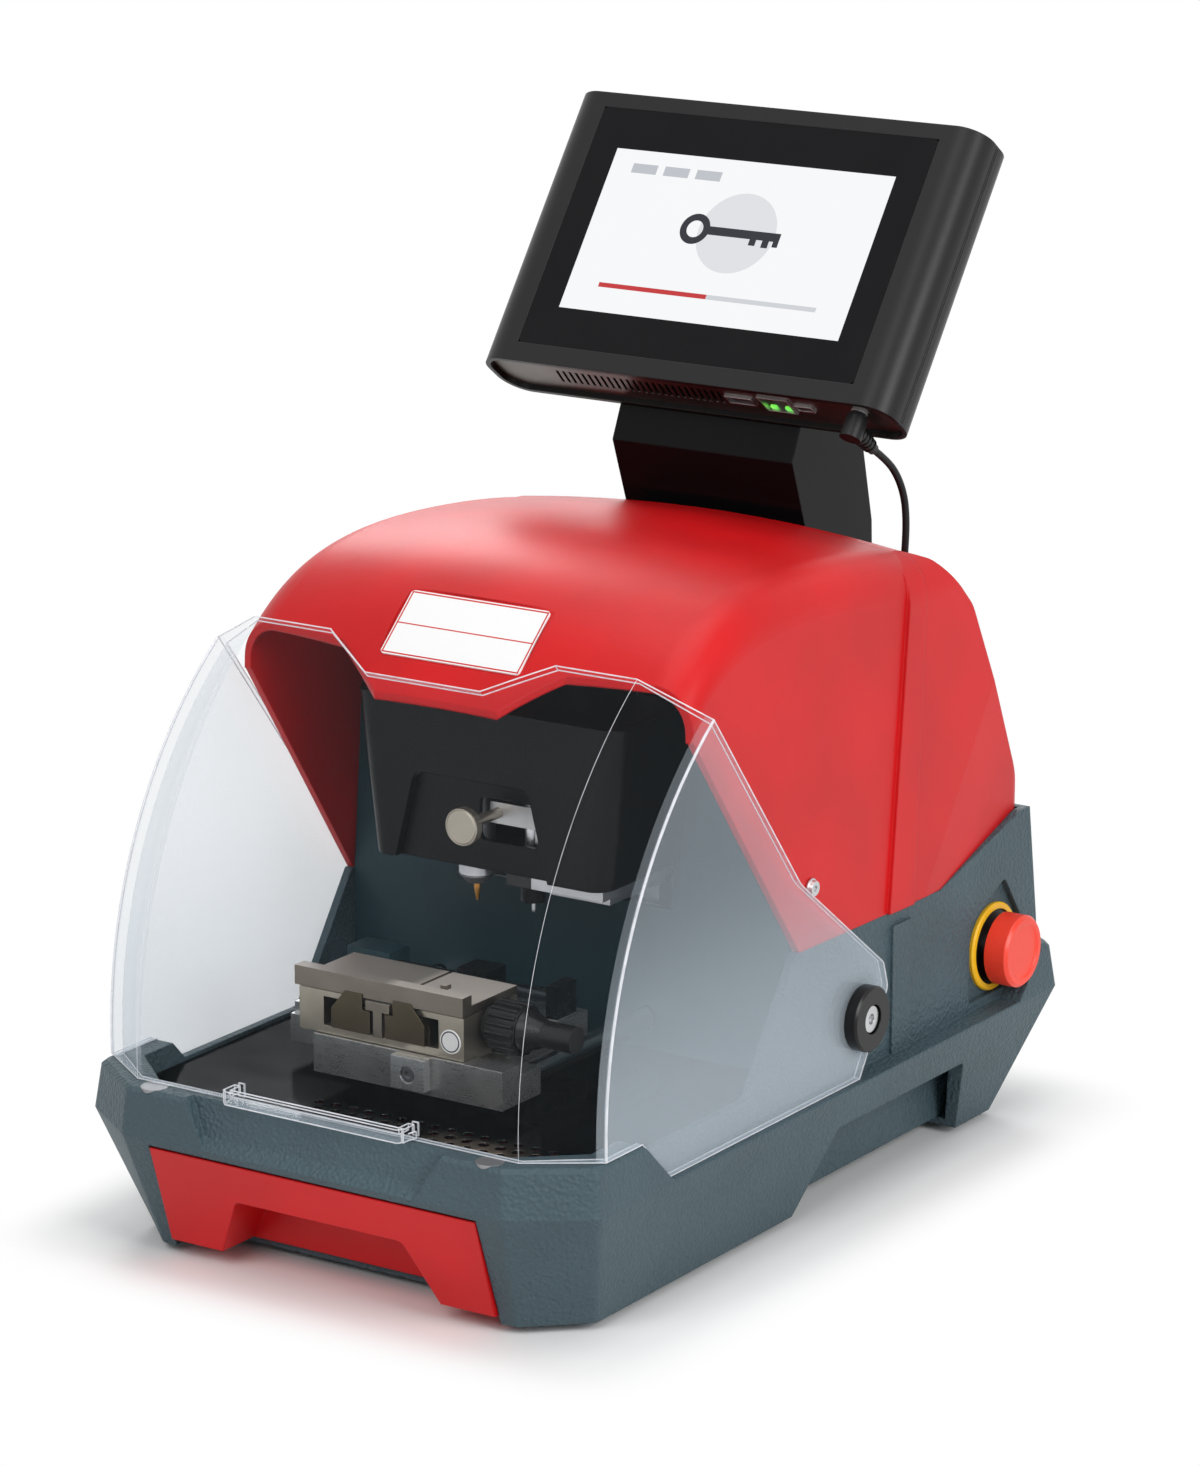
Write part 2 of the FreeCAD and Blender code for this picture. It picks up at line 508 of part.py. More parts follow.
def neck_profile(grow):
    """Side view of the display's neck, from the hood up to the display's back."""
    rise = math.radians(90 - s.screen_tilt)
    along = Vector(0, math.cos(rise), math.sin(rise))
    out = Vector(0, -math.sin(rise), math.cos(rise))
    back = Vector(0, screen_y, s.screen_z) - out * s.display_t

    def on_back(distance):
        point = back + along * distance
        return point.y, point.z

    low = on_back(3 - s.display_low)
    high = on_back(s.screen_h / 5)
    return [(screen_y + 26 - grow, s.neck_foot_z), (screen_y + 17 - grow, s.screen_z - 94),
            (screen_y + 5 - grow, s.screen_z - 61.5), low, high,
            (screen_y + 64 + grow, s.screen_z - 43, 40), (screen_y + 78 + grow, s.screen_z - 102),
            (screen_y + 80 + grow, s.neck_foot_z)]


def hood_shape():
    shell = hood_block(0).cut(hood_block(s.hood_t))
    seam = upper_wall_profile(0)
    below = prism([(-FAR, 0), (-FAR, s.seam_z), seam[3], seam[4], seam[5], (FAR, s.seam_rear_z),
                   (FAR, 0)],
                  "X", -FAR, FAR)
    side_front = prism([(s.column_y + 3, s.seam_z - 1), (s.lip_side_y + 8, s.lip_z), (-FAR, s.lip_z),
                        (-FAR, s.seam_z - 1)], "X", -FAR, FAR)
    lip = prism([(-FAR, -FAR), (FAR, -FAR), (FAR, s.lip_side_y + 8), (s.hood_w / 2, s.lip_side_y + 8),
                 (s.lip_high_w / 2, s.lip_side_y), (s.lip_low_w / 2, s.lip_y),
                 (-s.lip_low_w / 2, s.lip_y), (-s.lip_high_w / 2, s.lip_side_y),
                 (-s.hood_w / 2, s.lip_side_y + 8), (-FAR, s.lip_side_y + 8)],
                "Z", s.lip_z - 1, FAR)
    badge_seat = Part.makeBox(s.badge_w + 3, s.badge_h + 3, 20,
                              Vector(-s.badge_w / 2 - 1.5, -s.badge_h / 2 - 1.5, -s.badge_t))
    badge_seat.Placement = badge_frame()
    neck_way = prism(neck_profile(s.clearance), "X", -s.neck_w / 2 - s.clearance,
                     s.neck_w / 2 + s.clearance)
    screws = [cylinder(2 + s.running_fit, Vector(-FAR, s.hood_screw_y, s.hood_screw_z), X, 2 * FAR)]
    grommet = cylinder(s.grommet_r - 1, Vector(cable_points()[-1].x, cable_points()[-1].y, s.seam_rear_z),
                       Z, FAR)
    return shell.cut([below, side_front, lip, badge_seat, neck_way, grommet] + screws).removeSplitter()


def screen_frame():
    """Placement of the display: local X across, local Y up the screen, local Z out of the glass."""
    return Placement(Vector(0, screen_y, s.screen_z), Rotation(X, 90 - s.screen_tilt))


def cable_points():
    """Route of the display's lead, from the plug down to its grommet in the hood."""
    start = screen_frame().multVec(Vector(s.plug_x, -s.display_low - 6, -s.plug_w - 22))
    return [start, Vector(93.5, 114, 331), Vector(95, 121.4, 322.6), Vector(96, 126.2, 312),
            Vector(96, 128.2, 301), Vector(95.6, 128.6, 289.5), Vector(95, 128.4, 279.5)]


feature("hood", hood_shape())


def hood_pieces():
    """Badge plate, side screws with washers."""
    plate = prism(mirrored([(s.badge_w / 2, -s.badge_h / 2, 2), (s.badge_w / 2, s.badge_h / 2, 2)]), "Z",
                  -s.badge_t, -s.badge_t + 0.8)
    badge = feature("badge_plate", plate)
    badge.Placement = badge_frame()
    lean = "hood_lean/(crest_z - seam_z)*(hood_screw_z - seam_z + 20)"
    screws = []
    for i, side in enumerate((-1, 1)):
        body = turned(f"hood_screw_{i}",
                      [("0", "-7"), ("2", "-7"), ("2", "0"), ("4.4", "0"), ("4.4", "0.8"), ("3.8", "0.8"),
                       ("3.4", "2.6"), ("1.4", "2.6"), ("1.4", "1.4"), ("0", "1.4")],
                      (f"{side}*(hood_w/2 - {lean} + 0.25)", "hood_screw_y", "hood_screw_z"), "X")
        if side < 0:
            body.Placement = Placement(body.Placement.Base, Rotation(Y, -90))
        screws.append(body)
    node("hood_screws", group("hood_screws", *screws))


hood_pieces()


def guard_shape():
    """Clear guard: turned about its pivot, so it opens within its own sweep."""
    half, flat = s.guard_w / 2, s.guard_flat / 2

    def turned_block(inset):
        corner = (s.guard_r - s.guard_edge_r) / (half - flat) * inset * 0.4
        corners = [Vector(-half + inset, 0, 0), Vector(-half + inset, s.guard_edge_r - inset - corner, 0),
                   Vector(-flat, s.guard_r - inset, 0), Vector(flat, s.guard_r - inset, 0),
                   Vector(half - inset, s.guard_edge_r - inset - corner, 0), Vector(half - inset, 0, 0)]
        face = Part.Face(Part.makePolygon(corners + corners[:1]))
        face.translate(Vector(0, s.pivot_y, s.pivot_z))
        return face.revolve(Vector(0, s.pivot_y, s.pivot_z), X, 360)

    def at(angle, radius):
        turn = math.radians(angle)
        return s.pivot_y - radius * math.cos(turn), s.pivot_z + radius * math.sin(turn)

    shell = turned_block(0).cut(turned_block(s.guard_t))
    heel = s.guard_heel_r
    bump_y = front_y + s.bump_len
    low = s.guard_gap
    side = [(front_y - 5, s.rim_z + low), (bump_y, s.rim_z + low), (bump_y + s.bump_run, s.ledge_z + low),
            (s.pivot_y - 1, s.ledge_z + low), (s.pivot_y + heel * 0.8, s.pivot_z + heel * 0.3, 5),
            (s.pivot_y + heel * 0.66, s.pivot_z + heel * 0.74, 5), at(54.8, 93.6) + (20,),
            at(s.guard_top_deg, s.guard_r + 8), at(s.guard_top_deg / 2, s.guard_r * 1.2),
            at(0, s.guard_r + 10)]
    shell = shell.common(prism(side, "X", -FAR, FAR))
    dip = [at(s.guard_dip_deg, s.guard_r - 20), at(s.guard_dip_deg, s.guard_r + 20),
           at(s.guard_top_deg + 4, s.guard_r + 20), at(s.guard_top_deg + 4, s.guard_r - 20)]
    notch = Part.makeLoft([
        outline([(p[0], p[1]) for p in dip], lambda p: Vector(-s.guard_dip_w / 2, p.x, p.y)),
        outline([(p[0], p[1]) for p in dip], lambda p: Vector(s.guard_dip_w / 2, p.x, p.y))], True, True)
    slopes = []
    for sign in (-1, 1):
        wide = [at(s.guard_top_deg, s.guard_r - 20), at(s.guard_top_deg, s.guard_r + 20), dip[2], dip[3]]
        slopes.append(Part.makeLoft([
            outline(dip, lambda p: Vector(sign * s.guard_dip_w / 2, p.x, p.y)),
            outline(wide, lambda p: Vector(sign * s.guard_peak_w / 2, p.x, p.y))], True, True))
    bores = [cylinder(s.shoulder_pin_r + s.running_fit, Vector(-FAR, s.pivot_y, s.pivot_z), X, 2 * FAR)]
    shell = shell.cut([notch] + slopes + bores)
    tab_z = s.rim_z + low + 1
    face_y = s.pivot_y - s.guard_r + s.guard_t / 2
    tab = prism(mirrored([(s.handle_w / 2, face_y), (s.handle_w / 2 - 3, face_y - s.handle_out, 3)]), "Z",
                tab_z, tab_z + s.handle_t)
    edge = prism(mirrored([(s.handle_w / 2 - 2, face_y - s.handle_out + 3),
                           (s.handle_w / 2 - 3, face_y - s.handle_out, 2)]), "Z", tab_z, tab_z + 6)
    ears = [Part.makeBox(3, s.handle_out, 6, Vector(side * (s.handle_w / 2 - 3) - 1.5,
                                                    face_y - s.handle_out + 2,
                                                    tab_z)) for side in (-1, 1)]
    return shell.fuse([tab, edge] + ears).removeSplitter()


feature("guard_shield", guard_shape())


def pivot_pieces():
    """On each side: a spacer on the wall, a knob disc with a shoulder for the guard, and a screw."""
    spacers, knobs, screws = [], [], []
    for i, side in enumerate((-1, 1)):
        turn = Rotation(Y, 90 * side)
        centre = ("0", "pivot_y", "pivot_z")
        inner_face = "guard_w/2 - guard_t - clearance/2"
        outer_face = "guard_w/2 + clearance/2"
        spacer = turned(f"spacer_{i}", [("pivot_screw_r", "wall_w/2"), ("knob_r", "wall_w/2"),
                                        ("knob_r", inner_face), ("pivot_screw_r", inner_face)], centre)
        knob = turned(f"knob_{i}", [("pivot_screw_r", inner_face), ("shoulder_pin_r", inner_face),
                                    ("shoulder_pin_r", outer_face), ("knob_r", outer_face),
                                    ("knob_r", "knob_face - 1"), ("knob_r - 1", "knob_face"),
                                    ("7", "knob_face"), ("7", "knob_face - 3.5"),
                                    ("pivot_screw_r", "knob_face - 3.5")], centre)
        screw = turned(f"pivot_screw_{i}", [("0", "wall_w/2 - wall_t - 3"),
                                            ("pivot_screw_r", "wall_w/2 - wall_t - 3"),
                                            ("pivot_screw_r", "knob_face - 3.5"),
                                            ("6.2", "knob_face - 3.5"),
                                            ("6.2", "knob_face - 1"), ("2.5", "knob_face - 1"),
                                            ("2.5", "knob_face - 3"), ("0", "knob_face - 3")], centre)
        for body, kept in ((spacer, spacers), (knob, knobs), (screw, screws)):
            body.Placement = Placement(Vector(), turn)
            kept.append(body)
    node("pivot_spacers", group("pivot_spacers", *spacers))
    node("pivot_knobs", group("pivot_knobs", *knobs))
    node("pivot_screws", group("pivot_screws", *screws))


pivot_pieces()


def stop_pieces():
    """Emergency stop: yellow collar, contact block behind the wall, stem and mushroom cap."""
    centre = ("0", STOP_Y, "stop_z")
    seat = "wall_w/2 - stop_pocket"
    collar = turned("estop_collar", [("collar_hole_r", seat), ("collar_r", seat),
                                     ("collar_r", seat + " + collar_t - 0.8"),
                                     ("collar_r - 0.8", seat + " + collar_t"),
                                     ("collar_hole_r", seat + " + collar_t")],
                    centre, "X")
    node("estop_collar", collar)
    bore = "stem_r + running_fit"
    barrel = turned("stop_barrel", [(bore, seat + " - 24"), ("barrel_r", seat + " - 24"),
                                    ("barrel_r", seat),
                                    ("collar_hole_r - clearance", seat),
                                    ("collar_hole_r - clearance", seat + " + 1.4"),
                                    (bore, seat + " + 1.4")], centre, "X")
    contacts = block("stop_contacts", (seat + " - 44", seat + " - 24"),
                     (STOP_Y + " - 13", STOP_Y + " + 13"),
                     ("stop_z - 13", "stop_z + 13"))
    way = rod("stop_way", bore, (seat + " - 30", STOP_Y, "stop_z"), "20", "X")
    node("estop_block", cut("estop_block", fuse("stop_body", barrel, contacts), way))
    node("estop_stem", turned("estop_stem", [("0", seat + " - 22"), ("stem_r", seat + " - 22"),
                                             ("stem_r", "cap_face - 4"), ("0", "cap_face - 4")], centre,
                                             "X"))
    fit = "stem_r + running_fit"
    node("estop_cap", turned("estop_cap", [(fit, "cap_face - cap_l"), ("cap_r", "cap_face - cap_l"),
                                           ("cap_r", "cap_face - 1.5"), ("cap_r - 1.5", "cap_face"),
                                           ("cap_r - 4", "cap_face"), ("cap_r - 5", "cap_face - 0.8"),
                                           ("0", "cap_face - 0.8"),
                                           ("0", "cap_face - 4 + clearance"),
                                           (fit, "cap_face - 4 + clearance")], centre, "X"))


stop_pieces()


def display_section(inset):
    """Across the display: a rounded rectangle in local x and z of the screen frame."""
    half = s.display_w / 2 - inset
    corners = [(half, -inset), (-half, -inset), (-half, inset - s.display_t), (half, inset - s.display_t)]
    return outline([corner + (s.display_round - inset,) for corner in corners],
                   lambda p: Vector(p.x, 0, p.y))


def display_pieces():
    frame = screen_frame()
    low_v = -s.display_low
    length = s.display_len

    def along(section, start, size):
        solid = Part.Face(section).extrude(Y * size)
        solid.translate(Y * start)
        return solid

    def placed(label, shape):
        obj = feature(label, shape)
        obj.Placement = frame
        return obj

    hull = along(display_section(0), low_v, length).cut(along(display_section(s.display_wall), low_v - 1,
                                                              length + 2))
    half_space = Part.makeBox(FAR, FAR, FAR, Vector(-FAR / 2, -FAR / 2, -s.display_t / 2))
    glass_seat = Part.makeBox(s.glass_w + s.clearance, s.glass_h + s.clearance, s.glass_t + 1,
                              Vector(-(s.glass_w + s.clearance) / 2, -s.glass_low - s.clearance / 2,
                                     -s.glass_t))
    window = Part.makeBox(s.screen_w + 4, s.screen_h + 4, s.display_t / 2,
                          Vector(-s.screen_w / 2 - 2, -2, -s.display_t / 2))
    placed("display_front_frame", hull.common(half_space).cut([glass_seat, window]))
    placed("display_rear_shell", hull.cut(half_space))
    glass = prism(mirrored([(s.glass_w / 2, -s.glass_low, 2),
                            (s.glass_w / 2, s.glass_h - s.glass_low, 2)]), "Z", -s.glass_t, 0)
    placed("display_glass", glass)
    panel = Part.makeBox(s.screen_w + 3, s.screen_h + 3, 5,
                         Vector(-s.screen_w / 2 - 1.5, -1.5, -s.glass_t - 5))
    placed("screen_panel", panel)

    inner = s.display_wall + s.clearance / 3
    low_plate = along(display_section(inner), low_v + s.plate_in, s.plate_t)
    top_plate = along(display_section(inner), low_v + length - s.plate_in - s.plate_t, s.plate_t)
    ports = {"usb": (26, 15, 7), "network": (46, 16.5, 14), "small": (61, 9.5, 5)}
    tools = []
    for i in range(int(s.vent_count)):
        x = -76 + i * s.vent_pitch
        slot = Part.makeBox(s.vent_w, 20, s.vent_l, Vector(x, low_v, -s.display_t / 2 - s.vent_l / 2))
        slot.rotate(Vector(x, low_v, -s.display_t / 2), Y, 12)
        tools.append(slot)
    bodies = []
    for across, width, depth in ports.values():
        corner = Vector(across - width / 2, low_v + s.plate_in - 1, -s.display_t / 2 - depth / 2)
        tools.append(Part.makeBox(width + 0.4, 20, depth + 0.4, corner - Vector(0.2, 5, 0.2)))
        shell = Part.makeBox(width, 16, depth, corner)
        mouth = Part.makeBox(width - 1.6, 11, depth - 1.6, corner + Vector(0.8, -1, 0.8))
        bodies.append(shell.cut(mouth))
    socket = Vector(s.plug_x, low_v + s.plate_in - 1, -s.plug_w)
    tools.append(cylinder(4.2, socket - Y * 5, Y, 20))
    bodies.append(cylinder(4, socket, Y, 14).cut(cylinder(2.8, socket - Y, Y, 11)))
    placed("display_end_plates", Part.makeCompound([low_plate.cut(tools), top_plate]))
    placed("display_ports", Part.makeCompound(bodies))

    stem = cylinder(2.7, socket + Y, -Y, 4)
    head = cylinder(s.plug_r, socket - Y * (s.plate_in - 1 + 0.2), -Y, 6 + s.plug_r)
    elbow_v = low_v - 6
    relief = Part.makeCone(s.plug_r - 0.6, s.cable_r + 0.9, 22, Vector(s.plug_x, elbow_v, -s.plug_w), -Z)
    placed("dc_plug", stem.fuse([head, relief]).removeSplitter())


def cable_shape():
    """A tube along the lead's route: straight runs joined by tangent arcs as large as they allow."""
    points = cable_points()
    edges, here = [], points[0]
    for before, corner, after in zip(points, points[1:], points[2:]):
        into, out = (before - corner), (after - corner)
        turn = math.pi - into.getAngle(out)
        reach = 0.45 * min(into.Length, out.Length)
        radius = reach / math.tan(turn / 2)
        print(f"lead: turn {math.degrees(turn):.1f} degrees, radius {radius:.1f} mm")
        begin = corner + into.normalize() * reach
        end = corner + out.normalize() * reach
        bisector = ((begin - corner) + (end - corner)).normalize()
        middle = corner + bisector * (radius / math.cos(turn / 2) - radius)
        edges += [Part.makeLine(here, begin), Part.Arc(begin, middle, end).toShape()]
        here = end
    edges.append(Part.makeLine(here, points[-1]))
    path = Part.Wire(edges)
    ring = Part.Wire(Part.makeCircle(s.cable_r, points[0], points[1] - points[0]))
    tube = path.makePipeShell([ring], True, False)
    plain = math.pi * s.cable_r ** 2 * path.Length
    print(f"lead: length {path.Length:.1f} mm, volume ratio {tube.Volume / plain:.4f}")
    return tube


display_pieces()
feature("display_cable", cable_shape())
feature("display_neck", prism(neck_profile(0), "X", -s.neck_w / 2, s.neck_w / 2))
end = cable_points()[-1]
feature("cable_grommet", cylinder(s.grommet_r - 1, Vector(end.x, end.y, end.z - 8), Z, 8))


def frame_pieces():
    """Casting behind the chamber, its rails, motors, bushes, electronics and the mains inlet."""
    foot_z = "foot_h + base_floor + pan_t"
    plate_y1 = "column_plate_y + column_t"
    plate = block("column_plate", ("-column_w/2", "column_w/2"), ("column_plate_y", plate_y1),
                  (foot_z, "column_z"))
    foot = block("column_foot", ("-column_w/2", "column_w/2"), ("column_plate_y", PAN_REAR + " - 12"),
                 (foot_z, foot_z + " + frame_foot_t"))
    post = block("neck_post", ("-neck_w/2 + 6", "neck_w/2 - 6"), (SCREEN_Y + " + 45", SCREEN_Y + " + 53"),
                 (foot_z, "neck_foot_z"))
    flange = block("motor_flange", ("-motor_28/2 - 3", "motor_28/2 + 3"), ("z_screw_y - 13", plate_y1),
                   ("column_z", "column_z + 6"))
    low_bearing = block("low_bearing", ("-10", "10"), ("z_screw_y - 4.6", "column_plate_y"),
                        ("rail_z0 - 14", "rail_z0 - 6"))
    motor_wall = block("motor_wall", ("clamp_x - motor_42/2", "clamp_x + motor_42/2"),
                       (SHAFT_END + " + 26", SHAFT_END + " + 31"),
                       (foot_z, "shaft_z + motor_42/2"))
    body = fuse("column_body", plate, foot, post, flange, low_bearing, motor_wall)
    shaft_x = [f"clamp_x + ({side})*shaft_gap/2" for side in (-1, 1)]
    bush_r = "shaft_r + 3"
    holes = [rod(f"bush_hole_{i}", bush_r, (x, "column_plate_y - 1", "shaft_z"), "column_t + 2",
                 "Y") for i, x in enumerate(shaft_x)]
    holes.append(rod("y_screw_hole", "y_screw_r + running_fit", ("clamp_x", "0", "shaft_z"), "200", "Y"))
    holes.append(rod("z_screw_hole", "z_screw_r + running_fit", ("0", "z_screw_y", "rail_z0 - 12"), "200",
                     "Z"))
    node("frame_column", cut("frame_column", body, *holes))

    rails = [block(f"rail_{i}", (f"{side}*rail_x - rail_w/2", f"{side}*rail_x + rail_w/2"),
                   ("column_plate_y - rail_t", "column_plate_y"), ("rail_z0", "column_z - 3")) for i,
                   side in enumerate((-1, 1))]
    node("column_rails", group("column_rails", *rails))
    bushes = [cut(f"bush_{i}", rod(f"bush_body_{i}", bush_r, (x, "column_plate_y - 4", "shaft_z"),
                                   "column_t + 10", "Y"),
                  rod(f"bush_bore_{i}", "shaft_r + running_fit", (x, "column_plate_y - 5", "shaft_z"),
                      "column_t + 12", "Y"))
              for i, x in enumerate(shaft_x)]
    node("shaft_bushes", group("shaft_bushes", *bushes))
    node("z_motor", cut("z_motor", block("z_motor_body", ("-motor_28/2", "motor_28/2"),
                                         ("z_screw_y - motor_28/2", "z_screw_y + motor_28/2"),
                        ("column_z + 6", "column_z + 38")),
                        rod("z_motor_bore", "z_screw_r + running_fit", ("0", "z_screw_y", "column_z + 5"),
                            "21")))
    node("y_motor", cut("y_motor", block("y_motor_body", ("clamp_x - motor_42/2", "clamp_x + motor_42/2"),
                        (SHAFT_END + " + 31", SHAFT_END + " + 65"),
                        ("shaft_z - motor_42/2", "shaft_z + motor_42/2")),
                        rod("y_motor_bore", "y_screw_r + running_fit",
                            ("clamp_x", SHAFT_END + " + 30", "shaft_z"), "21", "Y")))
    foot_top = foot_z + " + frame_foot_t"
    node("power_supply", block("power_supply", ("column_w/2 - 62", "column_w/2 - 6"),
                               ("column_plate_y + 24", PAN_REAR + " - 36"),
                               (foot_top, foot_top + " + 38")))
    board = block("board_plate", ("-column_w/2 + 4", "clamp_x - motor_42/2 - 8"),
                  ("column_plate_y + 24", PAN_REAR + " - 36"), (foot_top + " + 5", foot_top + " + 6.6"))
    stands = [rod(f"board_stand_{i}", "3", (x, y, foot_top), "6") for i, (x, y) in enumerate(
        (x, y) for x in ("-column_w/2 + 10", "clamp_x - motor_42/2 - 14") for y in ("column_plate_y + 30",
                                                                                    PAN_REAR + " - 42"))]
    node("control_board", fuse("control_board", board, *stands))

    inlet_pieces()


def inlet_pieces():
    """Mains inlet in the rear wall, with the rocker switch beside its well."""
    lip = s.inlet_lip
    left = s.inlet_x - s.inlet_w / 2
    flange_plate = Part.makeBox(s.inlet_w + 2 * lip, lip, s.inlet_h + 2 * lip,
                                Vector(left - lip, 0, -s.inlet_h / 2 - lip))
    housing = Part.makeBox(s.inlet_w, s.inlet_depth, s.inlet_h,
                           Vector(left, -s.inlet_depth, -s.inlet_h / 2))
    well_w, well_h, well_d = 26, 18, 18
    well_x = left + 5
    well = Part.makeBox(well_w, well_d, well_h, Vector(well_x, lip - well_d, -well_h / 2))
    pins = [Part.makeBox(2, 12, 4, Vector(well_x + well_w / 2 - 1 + across, lip - well_d - 0.5, up))
            for across, up in ((-6, -5), (6, -5), (0, 2))]
    gap = 1.4 * s.clearance
    rocker_x = left + s.inlet_w - 2.5 - s.rocker_w - gap
    way_h = s.rocker_h + 6 * s.clearance
    rocker_way = Part.makeBox(s.rocker_w + 2 * gap, well_d, way_h,
                              Vector(rocker_x - gap, -14, -way_h / 2))
    place = inlet_frame()
    socket = feature("mains_inlet", flange_plate.fuse(housing).cut([well, rocker_way]).fuse(pins))
    socket.Placement = place
    half = s.rocker_h / 2
    paddle = prism([(-10, -half), (1.2, -half), (-0.6, 0), (s.rocker_rise, half), (-10, half)], "X",
                   rocker_x, rocker_x + s.rocker_w)
    swing = cylinder(half + s.clearance, Vector(rocker_x, -6, 0), X, s.rocker_w)
    rocker = feature("power_switch", paddle.common(swing))
    rocker.Placement = place


frame_pieces()


def head_pieces():
    """Head on the column: plate with shelf, cover, spindle, belt drive, tracer and thumb screw."""
    z0 = "head_z - shelf_t"
    plate_y1 = "head_plate_y + head_plate_t"
    plate = block("head_back", ("-head_plate_w/2", "head_plate_w/2"), ("head_plate_y", plate_y1),
                  (z0, "head_top_z"))
    shelf = block("head_shelf", ("-cover_low_w/2 + 6", "cover_low_w/2 - 4"),
                  ("spindle_y + 5", "head_plate_y"),
                  (z0, "head_z"))
    tongue = block("head_tongue", ("tracer_x - 8", "cover_low_w/2 - 4"), ("spindle_y - 10", "head_plate_y"),
                   (z0, "head_z"))
    lip = block("head_lip", ("tracer_x + 8", "cover_low_w/2 - 8"), ("spindle_y + 2", "head_plate_y"),
                (z0 + " - 5", z0))
    nut = block("head_nut", ("-9", "9"), (plate_y1, "column_plate_y - clearance"),
                ("head_top_z - 32", "head_top_z - 18"))
    holes = [rod("housing_hole", "housing_r", ("spindle_x", "spindle_y", "head_z - 20"), "30"),
             rod("tracer_hole", "tracer_r + 2", ("tracer_x", "spindle_y", "head_z - 20"), "30"),
             rod("head_nut_bore", "z_screw_r + running_fit", ("0", "z_screw_y", "head_z"), "100")]
    node("head_plate", cut("head_plate", fuse("head_casting", plate, shelf, tongue, lip, nut), *holes))

    low, top = s.cover_low_w / 2, s.cover_top_w / 2
    r = s.cover_round

    def shell(inset):
        sections = []
        for half, z in ((low, s.head_z + 0.1 - inset), (top, s.cover_z - inset)):
            corners = [(half - inset, s.cover_front_y + inset, r - inset),
                       (half - inset, s.cover_back_y + 2 * inset)]
            sections.append(outline(mirrored(corners), lambda p: Vector(p.x, p.y, z)))
        return Part.makeLoft(sections, True, True)

    def niche(inset, front, back):
        corners = [(s.niche_low_w / 2 + inset, s.head_z - 1),
                   (s.niche_top_w / 2 + inset, s.head_z + s.niche_h + inset, 6)]
        shape = prism(mirrored(corners), "Y", front, back)
        shape.translate(X * s.niche_x)
        return shape

    floor_y = s.cover_front_y + s.niche_depth
    lining = niche(s.cover_t, s.cover_front_y + 0.5, floor_y + s.cover_t).common(shell(0))
    cover = shell(0).cut(shell(s.cover_t)).fuse(lining).cut(niche(0, s.cover_front_y - 1, floor_y))
    opening = prism([(s.thumb_x - 6, s.head_z + 14, 3), (s.thumb_x - 6, s.head_z + 34, 3),
                     (s.tracer_x + 10, s.head_z + 34, 3), (s.tracer_x + 10, s.head_z + 14, 3)], "Y",
                    s.cover_front_y - 1, floor_y + s.cover_t + 1)
    feature("head_cover", cover.cut(opening))

    axis = ("spindle_x", "spindle_y", "0")
    node("spindle_housing", turned("spindle_housing", [
        ("spindle_r + running_fit", z0), ("housing_r", z0), ("housing_r", "pulley_z - 5"),
        ("spindle_r + running_fit", "pulley_z - 5")], axis))
    node("spindle", turned("spindle", [
        ("cutter_r", "nose_z"), ("nose_r/2", "nose_z"), ("nose_r", z0 + " - clearance"),
        ("spindle_r", z0 + " - clearance"), ("spindle_r", "pulley_z"),
        ("pulley_r", "pulley_z"), ("pulley_r", "pulley_z + pulley_h"), ("0", "pulley_z + pulley_h"),
        ("0", "nose_z + 14"), ("cutter_r", "nose_z + 14")], axis))
    node("cutter", turned("cutter", [
        ("0", "cutter_z"), ("cutter_r/3", "cutter_z"), ("cutter_r*0.7", "cutter_z + 3"),
        ("cutter_r", "cutter_z + 6"), ("cutter_r", "nose_z + 13"), ("0", "nose_z + 13")], axis))
    motor_axis = ("spindle_motor_x", "spindle_motor_y", "0")
    node("spindle_motor", turned("spindle_motor", [
        ("0", "head_z"), ("spindle_motor_r", "head_z"), ("spindle_motor_r", "pulley_z - 6"),
        ("3", "pulley_z - 6"), ("3", "pulley_z - 0.4"), ("0", "pulley_z - 0.4")], motor_axis))
    node("motor_pulley", turned("motor_pulley", [
        ("0", "pulley_z"), ("motor_pulley_r", "pulley_z"), ("motor_pulley_r", "pulley_z + pulley_h"),
        ("0", "pulley_z + pulley_h")], motor_axis))

    def belt_loop(extra):
        one, two = Vector(s.spindle_x, s.spindle_y, 0), Vector(s.spindle_motor_x, s.spindle_motor_y, 0)
        r1, r2 = s.pulley_r + extra, s.motor_pulley_r + extra
        heading = math.atan2(two.y - one.y, two.x - one.x)
        lean_angle = math.acos((r1 - r2) / one.distanceToPoint(two))
        low_z = s.pulley_z + 2

        def on(centre, radius, angle):
            return Vector(centre.x + radius * math.cos(angle), centre.y + radius * math.sin(angle), low_z)

        a, b = heading + lean_angle, heading - lean_angle
        wire = Part.Wire([Part.Arc(on(one, r1, a), on(one, r1, heading + math.pi),
                                   on(one, r1, b)).toShape(),
                          Part.makeLine(on(one, r1, b), on(two, r2, b)),
                          Part.Arc(on(two, r2, b), on(two, r2, heading), on(two, r2, a)).toShape(),
                          Part.makeLine(on(two, r2, a), on(one, r1, a))])
        return Part.Face(wire).extrude(Z * (s.pulley_h - 4))

    feature("drive_belt", belt_loop(s.belt_gap + s.belt_t).cut(belt_loop(s.belt_gap)))

